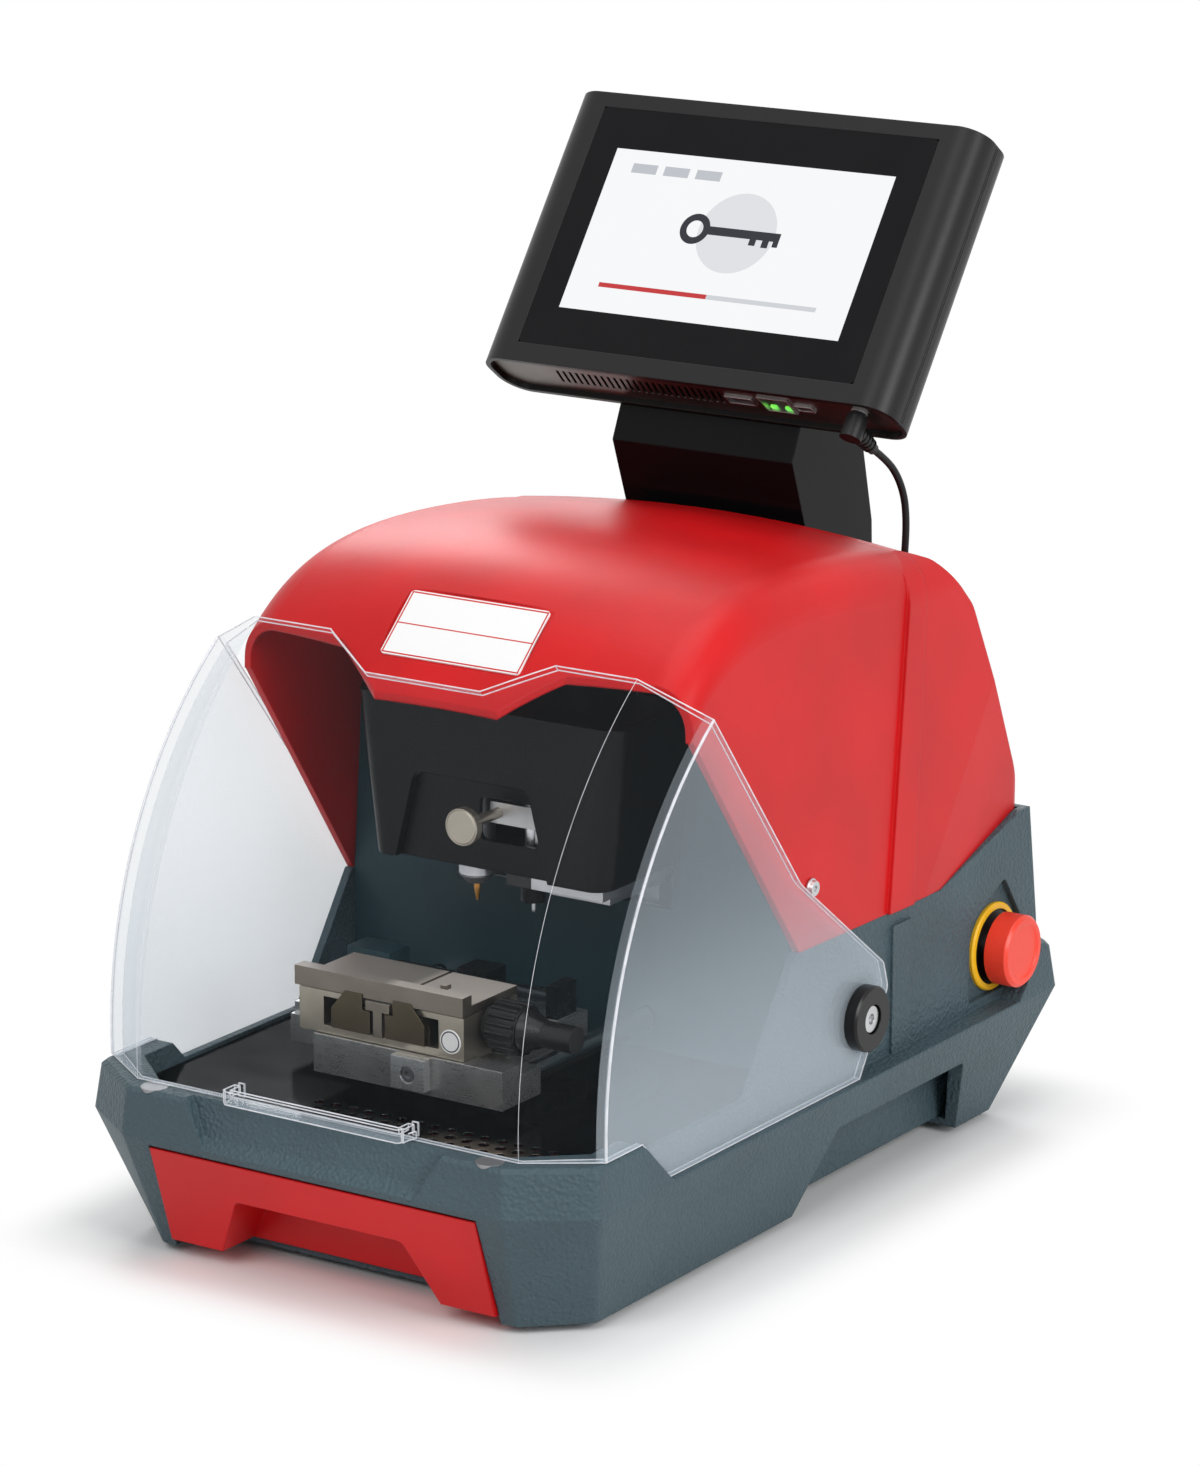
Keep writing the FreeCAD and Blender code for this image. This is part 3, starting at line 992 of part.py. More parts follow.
    clamp_block = block("tracer_block", ("thumb_x - 4", "tracer_x + 8"),
                        ("spindle_y - 6", "spindle_y + 6"), ("thumb_z - 5", "thumb_z + 5"))
    web = block("tracer_web", ("tracer_x + 5", "tracer_x + 8"), ("spindle_y - 6", "spindle_y + 6"),
                ("head_z", "thumb_z - 5"))
    sleeve = rod("tracer_sleeve", "tracer_r + 1.8", ("tracer_x", "spindle_y", "head_z - 14"), "19")
    bore = rod("tracer_bore", "tracer_r + running_fit", ("tracer_x", "spindle_y", "head_z - 20"), "100")
    thumb_bore = rod("thumb_bore", "thumb_rod_r + running_fit", ("thumb_x", "spindle_y - 20", "thumb_z"),
                     "40", "Y")
    node("tracer_holder", cut("tracer_holder", fuse("tracer_body", clamp_block, web, sleeve), bore,
                              thumb_bore))
    node("tracer_pin", turned("tracer_pin", [
        ("0", "tracer_z"), ("tracer_tip_r*0.6", "tracer_z"), ("tracer_tip_r", "tracer_z + 1"),
        ("tracer_tip_r", "head_z - 12"), ("tracer_r", "head_z - 11"),
        ("tracer_r", "thumb_z + 12"), ("0", "thumb_z + 12")], ("tracer_x", "spindle_y", "0")))
    node("thumb_screw", turned("thumb_screw", [
        ("0", "0"), ("thumb_r - 1", "0"), ("thumb_r", "1"), ("thumb_r", "4.2"), ("thumb_r - 1", "5"),
        ("thumb_rod_r", "5"),
        ("thumb_rod_r", "spindle_y - thumb_y + 4"), ("0", "spindle_y - thumb_y + 4")],
        ("thumb_x", "thumb_y", "thumb_z"), "Y"))
    node("z_screw", rod("z_screw", "z_screw_r", ("0", "z_screw_y", "rail_z0 - 11.5"),
                        "column_z + 24 - rail_z0 + 11.5"))


head_pieces()


def table_pieces():
    """Table on its two shafts, its screws, and the X motor at its rear."""
    x0, x1 = "clamp_x - table_left", "clamp_x + table_right"
    top = "table_z + table_t"
    bar_rear = "clamp_y - 2 + bar_d"
    slab = block("table_slab", (x0, x1), (bar_rear, "table_rear_y"), ("table_z", top))
    bar = block("table_bar", ("clamp_x - bar_left", "clamp_x + bar_right"), ("clamp_y - 2", bar_rear),
                ("table_z", top))
    bearing = block("table_bearing", (x1 + " - 8", x1 + " - 2"), ("x_screw_y - 8", "x_screw_y + 8"),
                    (top, "x_screw_z + 8"))
    front = block("table_front", ("clamp_x + 11", "clamp_x + 29"), ("clamp_y - 8", "clamp_y - 2"),
                  ("table_z + 3", top))
    shaft_x = [f"clamp_x + ({side})*shaft_gap/2" for side in (-1, 1)]
    shaft_y = ["screw_y + key_w/2 + 4", "clamp_y + 20"]
    holes = [rod(f"shaft_seat_{i}", "shaft_r", (x, y, "shaft_z"), "200", "Y")
             for i, (x, y) in enumerate(zip(shaft_x, shaft_y))]
    holes.append(rod("y_nut", "y_screw_r + running_fit", ("clamp_x", "clamp_y + 16", "shaft_z"), "200",
                     "Y"))
    holes.append(block("key_slot", (x0 + " - 1", "clamp_x + bar_right + 1"),
                       ("screw_y - key_w/2", "screw_y + key_w/2"), (top + " - key_d", top + " + 1")))
    holes.append(rod("x_bearing_bore", "x_screw_r + running_fit", (x0, "x_screw_y", "x_screw_z"), "200",
                     "X"))
    holes.append(rod("table_socket", "4", ("clamp_x + 20", "clamp_y - 9", "table_z + 10"), "4", "Y"))
    node("table_plate", cut("table_plate", fuse("table_solid", slab, bar, bearing, front), *holes))
    shafts = [rod(f"shaft_{i}", "shaft_r", (x, y, "shaft_z"), f"{SHAFT_END} - ({y})", "Y")
              for i, (x, y) in enumerate(zip(shaft_x, shaft_y))]
    node("table_shafts", group("table_shafts", *shafts))
    node("y_screw", rod("y_screw", "y_screw_r", ("clamp_x", "clamp_y + 40", "shaft_z"),
                        SHAFT_END + " + 48 - clamp_y - 40", "Y"))
    motor = block("x_motor_body", (x0, x0 + " + 24"), ("x_screw_y - x_motor/2", "x_screw_y + x_motor/2"),
                  (top, top + " + x_motor"))
    motor_bore = rod("x_motor_bore", "x_screw_r + running_fit", (x0 + " + 8", "x_screw_y", "x_screw_z"),
                     "40", "X")
    node("x_motor", cut("x_motor", motor, motor_bore))
    node("x_screw", rod("x_screw", "x_screw_r", (x0 + " + 9", "x_screw_y", "x_screw_z"),
                        "table_left + table_right - 11.5", "X"))


table_pieces()


def clamp_pieces():
    """Key clamp: body on its key, two wedge jaws on a two-handed screw, top jaw and knob."""
    x0, x1 = "clamp_x - clamp_l/2", "clamp_x + clamp_l/2"
    y1 = "clamp_y + clamp_d"
    z1 = "clamp_z + clamp_h"
    body = block("clamp_solid", (x0, x1), ("clamp_y", y1), ("clamp_z", z1))
    key = block("clamp_key", (x0 + " + 6", x1 + " - 6"),
                ("screw_y - key_w/2 + clearance", "screw_y + key_w/2 - clearance"),
                ("table_z + table_t - key_d + clearance", "clamp_z"))
    arm = block("nut_arm", ("clamp_x - 9", "clamp_x + 7"), (y1, "x_screw_y + 8"),
                ("clamp_z", "clamp_z + 6"))
    nut = block("carriage_nut", ("clamp_x - 9", "clamp_x + 7"), ("x_screw_y - 8", "x_screw_y + 8"),
                ("clamp_z", "x_screw_z + 8"))
    left_boss = rod("left_boss", "7", (x0 + " - 8", "screw_y", "screw_z"), "8", "X")
    inner = "rib_core/2 + jaw_gap"
    outer = "rib_core/2 + 2*jaw_gap + jaw_l + 3"
    windows = [block(f"window_{i}", (f"clamp_x + min({side}*rib_core/2; {side}*({outer}))",
                                     f"clamp_x + max({side}*rib_core/2; {side}*({outer}))"),
                     ("clamp_y - 1", "clamp_y + jaw_depth + 1"),
                     ("window_z0", "window_z0 + window_h")) for i, side in enumerate((-1, 1))]
    holes = windows + [
        rod("screw_way", "clamp_screw_r + running_fit", (x0 + " - 9", "screw_y", "screw_z"),
            "clamp_l + 20", "X"),
        rod("x_nut_bore", "x_screw_r + running_fit", ("clamp_x - 30", "x_screw_y", "x_screw_z"), "60",
            "X")]
    posts = [("clamp_x - clamp_l/2 + 7", "screw_y"), ("clamp_x + clamp_l/2 - 7", "screw_y")]
    holes += [rod(f"post_bore_{i}", "3 + running_fit", (x, y, z1 + " - post_l - 1"), "post_l + 2") for i,
              (x, y) in enumerate(posts)]
    node("clamp_body", cut("clamp_body", fuse("clamp_casting", body, key, arm, nut, left_boss), *holes))

    for label, side in (("jaw_left", -1), ("jaw_right", 1)):
        edge = side * (s.rib_core / 2 + s.jaw_gap)
        tip = edge + side * s.jaw_l
        low_z, high_z = s.window_z0 + s.clearance, s.window_z0 + s.window_h - s.clearance
        chamfer = 5
        jaw = prism([(s.clamp_x + edge, low_z), (s.clamp_x + tip, low_z),
                     (s.clamp_x + tip, high_z - chamfer),
                     (s.clamp_x + tip - side * chamfer, high_z), (s.clamp_x + edge + side * 2, high_z),
                     (s.clamp_x + edge, high_z - 2)],
                    "Y", s.clamp_y + 1.2, s.clamp_y + s.jaw_depth)
        bore = cylinder(s.clamp_screw_r + s.running_fit, Vector(-FAR, s.screw_y, s.screw_z), X, 2 * FAR)
        feature(label, jaw.cut(bore))

    jaw_z = z1 + " + top_jaw_lift"
    plate = block("jaw_plate", (x0, x1), ("clamp_y - 1", y1), (jaw_z, jaw_z + " + top_jaw_t"))
    bar = block("jaw_bar", (x0 + " - 1", x1 + " + 1"), ("clamp_y - 2", "clamp_y - 2 + top_bar_d"),
                (jaw_z, jaw_z + " + top_bar_h"))
    stop_pin = block("stop_pin", ("clamp_x + 20", "clamp_x + 23"), ("clamp_y + 18", "clamp_y + 22"),
                     (jaw_z, jaw_z + " + top_jaw_t + 2"))
    pins = [rod(f"jaw_post_{i}", "3", (x, y, z1 + " - post_l"), "post_l + top_jaw_lift") for i,
            (x, y) in enumerate(posts)]
    groove = block("jaw_groove", ("clamp_x + 8", "clamp_x + 10"), ("clamp_y + 8", y1 + " + 1"),
                   (jaw_z + " + top_jaw_t - 1", jaw_z + " + top_jaw_t + 1"))
    node("top_jaw", cut("top_jaw", fuse("top_jaw_solid", plate, bar, stop_pin, *pins), groove))

    node("clamp_screw", rod("clamp_screw", "clamp_screw_r", (x0 + " - 7", "screw_y", "screw_z"),
                            "knob_x - (clamp_x - clamp_l/2 - 7)", "X"))
    collar = rod("knob_collar", "9", ("clamp_x + clamp_l/2 + 1", "screw_y", "screw_z"),
                 "knob_x - clamp_x - clamp_l/2 - 1", "X")
    collar_bore = rod("collar_bore", "clamp_screw_r", ("clamp_x", "screw_y", "screw_z"),
                      "knob_x - clamp_x", "X")
    drum = rod("knob_drum", "knob_drum_r - 1", ("knob_x", "screw_y", "screw_z"), "knob_l", "X")
    neck = doc.addObject("Part::Cone", "knob_neck")
    neck.Placement = Placement(Vector(), AXIS_TURN["X"])
    bind(neck, "Radius1", "knob_drum_r - 2")
    bind(neck, "Radius2", "stem_knob_r")
    bind(neck, "Height", "10")
    stem = rod("knob_stem", "stem_knob_r", ("knob_x + knob_l + 10", "screw_y", "screw_z"),
               "stem_end_x - knob_x - knob_l - 10", "X")
    for axis_name, value in zip("xyz", ("knob_x + knob_l", "screw_y", "screw_z")):
        bind(neck, f"Placement.Base.{axis_name}", value)
    solid = fuse("knob_solid", cut("knob_collar_ring", collar, collar_bore), drum, neck, stem)
    doc.recompute()
    ribs = []
    for i in range(int(s.knob_ribs)):
        turn = 2 * math.pi * i / s.knob_ribs
        radius = s.knob_drum_r - 1
        ribs.append(cylinder(1, Vector(s.knob_x + 1, s.screw_y + radius * math.cos(turn),
                                       s.screw_z + radius * math.sin(turn)), X, s.knob_l - 2))
    feature("clamp_knob", solid.Shape.fuse(ribs).removeSplitter())


clamp_pieces()

doc.recompute()
failed = [obj.Label for obj in doc.Objects if {"Invalid", "Error"} & set(obj.State)]
if failed:
    raise RuntimeError("failed objects: " + ", ".join(failed))
for label, obj in nodes.items():
    if obj.Shape.isNull() or not obj.Shape.isValid():
        raise RuntimeError("bad shape: " + label)
    if obj.Shape.Volume <= 0 or not obj.Shape.Solids:
        raise RuntimeError("no solid: " + label)

os.makedirs("parts", exist_ok=True)
for label, obj in nodes.items():
    obj.Shape.exportStep(f"parts/{label}.step")
print(f"{len(nodes)} sub-parts written")
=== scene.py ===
"""Key duplicating machine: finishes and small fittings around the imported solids, in metres."""
import math

import bmesh
import bpy
from bpy.props import FloatProperty, FloatVectorProperty, IntProperty, PointerProperty
from mathutils import Matrix, Vector


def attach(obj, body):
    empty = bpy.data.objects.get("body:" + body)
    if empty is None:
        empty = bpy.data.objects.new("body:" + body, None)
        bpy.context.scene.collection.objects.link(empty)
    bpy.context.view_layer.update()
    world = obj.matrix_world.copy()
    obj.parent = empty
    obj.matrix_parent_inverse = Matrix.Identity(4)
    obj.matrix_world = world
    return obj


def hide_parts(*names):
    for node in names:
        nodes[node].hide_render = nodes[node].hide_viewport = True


bl_info = {
    "name": "Key duplicating machine",
    "version": (1, 0, 0),
    "blender": (4, 5, 0),
    "location": "View3D > Sidebar > Machine",
    "description": "Dresses a bench key machine: moulded base, red hood, clear guard and display",
    "category": "Object",
}

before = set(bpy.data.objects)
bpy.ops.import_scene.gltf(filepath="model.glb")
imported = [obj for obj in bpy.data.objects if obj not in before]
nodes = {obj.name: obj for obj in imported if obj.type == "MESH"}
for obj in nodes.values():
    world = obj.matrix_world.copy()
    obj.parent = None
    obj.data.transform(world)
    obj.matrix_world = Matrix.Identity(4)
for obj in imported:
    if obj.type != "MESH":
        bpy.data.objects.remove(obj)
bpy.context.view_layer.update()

MM = 0.001
WELD = 1e-6

# The screen's frame starts at the middle of the lit area's lower edge.
SCREEN_ORIGIN = Vector((0, 96.3, 387.9)) * MM
SCREEN_TURN = math.radians(53.9)
SCREEN_PLACE = Matrix.Translation(SCREEN_ORIGIN) @ Matrix.Rotation(SCREEN_TURN, 4, "X")
SCREEN_WIDE, SCREEN_TALL = 154.2, 85.5
BADGE_MIDDLE = Vector((0, -93, 279.4)) * MM
BADGE_TURN = math.radians(42)
CLAMP_MIDDLE = -14
LEAD_ROUTE = [(92, 104.18, 337.60), (93.5, 114, 331), (95, 121.4, 322.6), (96, 126.2, 312),
              (96, 128.2, 301), (95.6, 128.6, 289.5), (95, 128.4, 279.5)]

# Camera as solved from the photograph, and the studio, in metres.
CAMERA_PLACE = (1.3632, -2.0352, 0.8673)
CAMERA_RIGHT = (0.83278, 0.55361, 0)
CAMERA_UP = (-0.14305, 0.21519, 0.96604)
CAMERA_BACK = (0.53481, -0.80450, 0.25840)
SENSOR_HEIGHT = 36
VIEW_END = 50
LAMPS = (("key_lamp", (0.1, -2.0, 1.7), 1.3, "key"), ("side_lamp", (2.0, -0.5, 1.1), 1.2, "side"),
         ("top_lamp", (0.1, 0.1, 2.0), 1.5, "top"), ("rear_lamp", (-1.2, 1.6, 1.3), 1.0, "top"))
LAMP_AIM = Vector((0, 0, 0.2))
FLOOR_REACH = 4.0
BASE_HALF_WIDE, BASE_HALF_DEEP = 135 * MM, 205 * MM
SHADOW_FADE = (10 * MM, 52 * MM)

CLOUD_SIZE = 60 * MM
STAIN_SIZE = 18 * MM


def hue(red, green, blue):
    """Eight-bit screen colour as linear light."""
    return tuple((c / 255 / 12.92) if c <= 10 else ((c / 255 + 0.055) / 1.055) ** 2.4
                 for c in (red, green, blue))


def colour_setting(name, description, default):
    return FloatVectorProperty(name=name, description=description, subtype="COLOR", size=3,
                               min=0.0, max=1.0, default=default)


def length_setting(name, description, default):
    return FloatProperty(name=name, description=description, subtype="DISTANCE", unit="LENGTH",
                         min=0.0, default=default)


class MachineColours(bpy.types.PropertyGroup):
    """Colours of the machine's mouldings and metals."""
    slate: colour_setting("Slate", "Textured plastic of the base", hue(64, 82, 89))
    wall: colour_setting("Back wall", "Painted sheet behind the table, and the small motor",
                         hue(26, 52, 59))
    red: colour_setting("Red", "Hood and chip drawer", hue(194, 12, 17))
    black: colour_setting("Black", "Display housing, head cover and knobs", hue(13, 13, 14))
    nickel: colour_setting("Nickel", "Plated clamp body", hue(172, 164, 150))
    dark_steel: colour_setting("Dark steel", "Clamp jaws", hue(88, 80, 65))
    steel: colour_setting("Steel", "Bright screws, ports and pins", hue(205, 206, 208))
    yellow: colour_setting("Yellow", "Ring round the emergency stop", hue(244, 188, 34))
    stop_red: colour_setting("Stop red", "Mushroom cap of the emergency stop", hue(238, 62, 40))
    carbide: colour_setting("Carbide", "Cutter's coated tip", hue(196, 140, 74))
    badge: colour_setting("Badge", "White printed plate", hue(238, 238, 238))


class MachineSizes(bpy.types.PropertyGroup):
    """Sizes of the fittings that the scene adds."""
    lead_radius: length_setting("Lead radius", "Half the display lead's diameter", 1.75 * MM)
    pebble: length_setting("Pebble", "Size of the base's moulded texture", 1.9 * MM)
    knurl_teeth: IntProperty(name="Knurl teeth", description="Teeth round the thumb screw",
                             min=12, max=120, default=44)
    knurl_rise: length_setting("Knurl rise", "Height of the thumb screw's teeth", 0.35 * MM)
    edge_bead: length_setting("Edge bead", "Half the width of the guard's bright edges", 0.32 * MM)
    corner_bead: length_setting("Corner bead", "Half the width of the guard's bright corners", 0.65 * MM)
    bend_bead: length_setting("Bend bead", "Half the width of the guard's faint front bends", 0.12 * MM)
    seam_bead: length_setting("Seam bead", "Half the width of the lines on the display's sides", 0.35 * MM)
    sticker_radius: length_setting("Disc radius", "Round plate on the clamp's front", 5.6 * MM)


class StudioSettings(bpy.types.PropertyGroup):
    """Floor, lamps and camera."""
    floor: colour_setting("Floor", "Pale floor", (0.9, 0.9, 0.9))
    ambient: FloatProperty(name="Ambient", description="Strength of the even light", min=0.0, default=0.28)
    key: FloatProperty(name="Key lamp", description="Power of the soft lamp in front", min=0.0,
                       default=22.0)
    side: FloatProperty(name="Side lamp", description="Power of the soft lamp on the right", min=0.0,
                        default=28.0)
    top: FloatProperty(name="Top lamp", description="Power of the soft lamps above and behind",
                       min=0.0, default=14.0)
    lens: FloatProperty(name="Lens", description="Focal length on a 36 mm tall sensor", subtype="NONE",
                        min=10.0, default=135.43)


class Value:
    """A shader socket that takes part in Python arithmetic."""

    def __init__(self, sheet, socket):
        self.sheet = sheet
        self.socket = socket

    def math(self, operation, *feeds):
        return self.sheet.read("ShaderNodeMath", 0, {"operation": operation}, dict(enumerate(feeds)))

    def __add__(self, other):
        return self.math("ADD", self, other)

    __radd__ = __add__

    def __sub__(self, other):
        return self.math("SUBTRACT", self, other)

    def __rsub__(self, other):
        return self.math("SUBTRACT", other, self)

    def __mul__(self, other):
        return self.math("MULTIPLY", self, other)

    def __abs__(self):
        return self.math("ABSOLUTE", self)

    def __gt__(self, other):
        return self.math("GREATER_THAN", self, other)

    def __lt__(self, other):
        return self.math("LESS_THAN", self, other)

    def most(self, other):
        return self.math("MAXIMUM", self, other)

    def root(self):
        return self.math("SQRT", self)

    def ease(self, low, high):
        """0 below low, 1 above high, smooth between them."""
        return self.sheet.read("ShaderNodeMapRange", 0, {"interpolation_type": "SMOOTHSTEP"},
                               {"Value": self, "From Min": low, "From Max": high})


class Sheet:
    """A node tree that is filled from code."""

    def __init__(self, tree):
        self.tree = tree
        tree.nodes.clear()

    def node(self, kind, settings=(), sockets=()):
        made = self.tree.nodes.new(kind)
        for name, setting in dict(settings).items():
            setattr(made, name, setting)
        for name, feed in dict(sockets).items():
            if isinstance(feed, Value):
                self.tree.links.new(feed.socket, made.inputs[name])
            else:
                made.inputs[name].default_value = feed
        return made

    def read(self, kind, output=0, settings=(), sockets=()):
        return Value(self, self.node(kind, settings, sockets).outputs[output])


class Finish(Sheet):
    """One procedural material with a Principled shader."""

    def __init__(self, name, constants=()):
        self.material = bpy.data.materials.new(name)
        self.material.use_nodes = True
        super().__init__(self.material.node_tree)
        self.shader = self.node("ShaderNodeBsdfPrincipled", (), constants)
        self.output = self.node("ShaderNodeOutputMaterial", (),
                                {"Surface": Value(self, self.shader.outputs[0])})
        self.place = self.read("ShaderNodeTexCoord", "Object")
        self.facing = self.read("ShaderNodeNewGeometry", "Normal")

    def feed(self, socket, value):
        if isinstance(value, Value):
            self.tree.links.new(value.socket, self.shader.inputs[socket])
        else:
            self.shader.inputs[socket].default_value = value

    def axes(self, vector=None):
        split = self.node("ShaderNodeSeparateXYZ", (), {0: vector or self.place})
        return [Value(self, split.outputs[i]) for i in range(3)]

    def turned_axes(self, origin, turn):
        """Coordinates in a frame that is turned about X, such as the screen's."""
        moved = self.read("ShaderNodeVectorMath", 0, {"operation": "SUBTRACT"},
                          {0: self.place, 1: tuple(origin)})
        x, y, z = self.axes(moved)
        return (x, y * math.cos(turn) + z * math.sin(turn), z * math.cos(turn) - y * math.sin(turn))

    def noise(self, size, detail=2.0, stretch=(1, 1, 1)):
        """Cloudy pattern of that size in metres, drawn out along an axis where stretch is under 1."""
        place = self.read("ShaderNodeMapping", 0, (), {"Vector": self.place, "Scale": stretch})
        return self.read("ShaderNodeTexNoise", 0, (), {"Vector": place, "Scale": 1 / size,
                                                       "Detail": detail})

    def cells(self, size):
        return self.read("ShaderNodeTexVoronoi", 0, {"feature": "SMOOTH_F1"},
                         {"Vector": self.place, "Scale": 1 / size, "Smoothness": 0.6})

    def between(self, factor, first, second):
        feeds = {0: factor}
        for socket, feed in ((6, first), (7, second)):
            feeds[socket] = feed if isinstance(feed, Value) else tuple(feed)[:3] + (1.0,)
        return self.read("ShaderNodeMix", 2, {"data_type": "RGBA"}, feeds)

    def rounded(self, radius):
        return self.read("ShaderNodeBevel", 0, {"samples": 4}, {"Radius": radius})

    def edge(self, rounded):
        """How far the rounded normal leans from the face: 0 on a flat, up at an edge."""
        dot = self.read("ShaderNodeVectorMath", 1, {"operation": "DOT_PRODUCT"},
                        {0: rounded, 1: self.facing})
        return 1 - dot

    def relief(self, height, depth, normal):
        """Fine surface relief of that depth on top of a rounded normal."""
        self.feed("Normal", self.read("ShaderNodeBump", 0, (), {"Height": height, "Distance": depth,
                                                                "Strength": 1.0, "Normal": normal}))


def shade(colour, share):
    return tuple(min(c * share, 1.0) for c in tuple(colour)[:3])


def moulded(name, colour, roughness, grain, depth, rounding=0.8 * MM, edge_highlight=0.25, gloss=0.3):
    """Injection-moulded plastic: spark texture, slight clouding, softened edges painted lighter as a
    highlight.
    """
    finish = Finish(name, {"Specular IOR Level": gloss})
    speckle = finish.noise(grain, 3.0)
    pores = finish.cells(grain)
    cloud = finish.noise(CLOUD_SIZE, 2.0)
    soft = finish.rounded(rounding)
    tone = finish.between(cloud.ease(0.3, 0.7), shade(colour, 0.92), shade(colour, 1.07))
    # Painted highlight: the rounded edges are painted lighter, where they catch the light.
    tone = finish.between(finish.edge(soft).ease(0.02, 0.3) * edge_highlight, tone, shade(colour, 1.8))
    finish.feed("Base Color", tone)
    finish.feed("Roughness", roughness - 0.07 + speckle * 0.14)
    finish.relief(speckle * 0.6 + pores * 0.6, depth, soft)
    return finish


def machined(name, colour, roughness, stretch=(1, 1, 1), grain=0.35 * MM, depth=0.004 * MM,
             rounding=0.3 * MM, metal=1.0):
    """Turned, ground or plated metal: fine tool lines, slight stains and edges painted lighter as a
    highlight.
    """
    finish = Finish(name, {"Metallic": metal})
    lines = finish.noise(grain, 3.0, stretch)
    stain = finish.noise(STAIN_SIZE, 3.0)
    soft = finish.rounded(rounding)
    tone = finish.between(stain.ease(0.35, 0.7), shade(colour, 0.9), shade(colour, 1.05))
    # Painted highlight: the rounded edges are painted lighter.
    finish.tone = finish.between(finish.edge(soft).ease(0.02, 0.25) * 0.5, tone, shade(colour, 1.5))
    finish.feed("Base Color", finish.tone)
    finish.feed("Roughness", roughness + lines * 0.12 + stain * 0.05)
    finish.relief(lines, depth, soft)
    return finish


def brushed_top_painted_light(finish, colour):
    """Lighter, duller brushed faces where a metal piece looks up, painted as light falling on its top, and
    painted shade on its left half.
    """
    dark_end, light_start = -12 * MM, -4 * MM
    up = finish.axes(finish.facing)[2].ease(0.5, 0.9)
    lines = finish.noise(0.5 * MM, 3.0, (0.04, 1, 1))
    light = finish.between(lines, shade(colour, 0.85), shade(colour, 1.1))
    # Painted shade: the left half of the up-facing faces is darkened.
    light = finish.between(finish.axes()[0].ease(dark_end, light_start), shade(colour, 0.45), light)
    finish.tone = finish.between(up, finish.tone, light)
    finish.feed("Base Color", finish.tone)
    finish.feed("Metallic", 1 - up * 0.7)


def dress(finish, *names):
    """Give CAD nodes a finish."""
    for name in names:
        obj = nodes[name]
        if not obj.material_slots:
            obj.data.materials.append(None)
        for place in obj.material_slots:
            place.material = finish.material


def piece(name, bm, body, finish, crease=30):
    """Turn a finished bmesh into an object that rides on a body."""
    bmesh.ops.remove_doubles(bm, verts=bm.verts, dist=WELD)
    bmesh.ops.recalc_face_normals(bm, faces=bm.faces)
    mesh = bpy.data.meshes.new(name)
    bm.to_mesh(mesh)
    bm.free()
    for polygon in mesh.polygons:
        polygon.use_smooth = True
    mesh.set_sharp_from_angle(angle=math.radians(crease))
    mesh.materials.append(finish.material)
    obj = bpy.data.objects.new(name, mesh)
    bpy.context.scene.collection.objects.link(obj)
    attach(obj, body)
    return obj


def lathe(bm, profile, place, steps=48):
    """Spin (radius, height) points in millimetres about Z, then put the turned form in place."""
    made = [bm.verts.new((radius * MM, 0, height * MM)) for radius, height in profile]
    edges = [bm.edges.new(pair) for pair in zip(made, made[1:])]
    bmesh.ops.spin(bm, geom=made + edges, cent=(0, 0, 0), axis=(0, 0, 1), dvec=(0, 0, 0),
                   angle=math.tau, steps=steps, use_merge=True, use_duplicate=False)
    verts = {v for f in bm.faces for v in f.verts if not f.tag}
    for face in bm.faces:
        face.tag = True
    bmesh.ops.transform(bm, matrix=place, verts=list(verts))


def facing_place(point, way):
    """Matrix that puts a turned form's Z along way, at a point in millimetres."""
    return Matrix.Translation(Vector(point) * MM) @ Vector(way).to_track_quat("Z", "Y").to_matrix().to_4x4()


def rounded_block(bm, size, place, bevel):
    """Bevelled block of that size in millimetres."""
    made = bmesh.ops.create_cube(bm, size=1.0)
    bmesh.ops.scale(bm, vec=Vector(size) * MM, verts=made["verts"])
    edges = list({e for v in made["verts"] for e in v.link_edges})
    turned = bmesh.ops.bevel(bm, geom=edges, offset=bevel * MM, segments=2, profile=0.5, affect="EDGES",
                             material=-1)
    verts = {v for f in turned["faces"] for v in f.verts}
    bmesh.ops.transform(bm, matrix=place, verts=list(verts))


def slab(bm, corners, front, back):
    """Upright plate in millimetres: (x, z) corners, drawn from front to back along Y."""
    face = bm.faces.new([bm.verts.new((x * MM, front * MM, z * MM)) for x, z in corners])
    drawn = bmesh.ops.extrude_face_region(bm, geom=[face])["geom"]
    bmesh.ops.translate(bm, vec=(0, (back - front) * MM, 0),
                        verts=[part for part in drawn if isinstance(part, bmesh.types.BMVert)])


class MachineOperator:
    """What every operator of the machine shares."""
    bl_options = {"REGISTER", "UNDO"}

    def execute(self, context):
        machine = context.scene.key_machine
        self.make(machine.colours, machine.sizes, machine.studio)
        return {"FINISHED"}


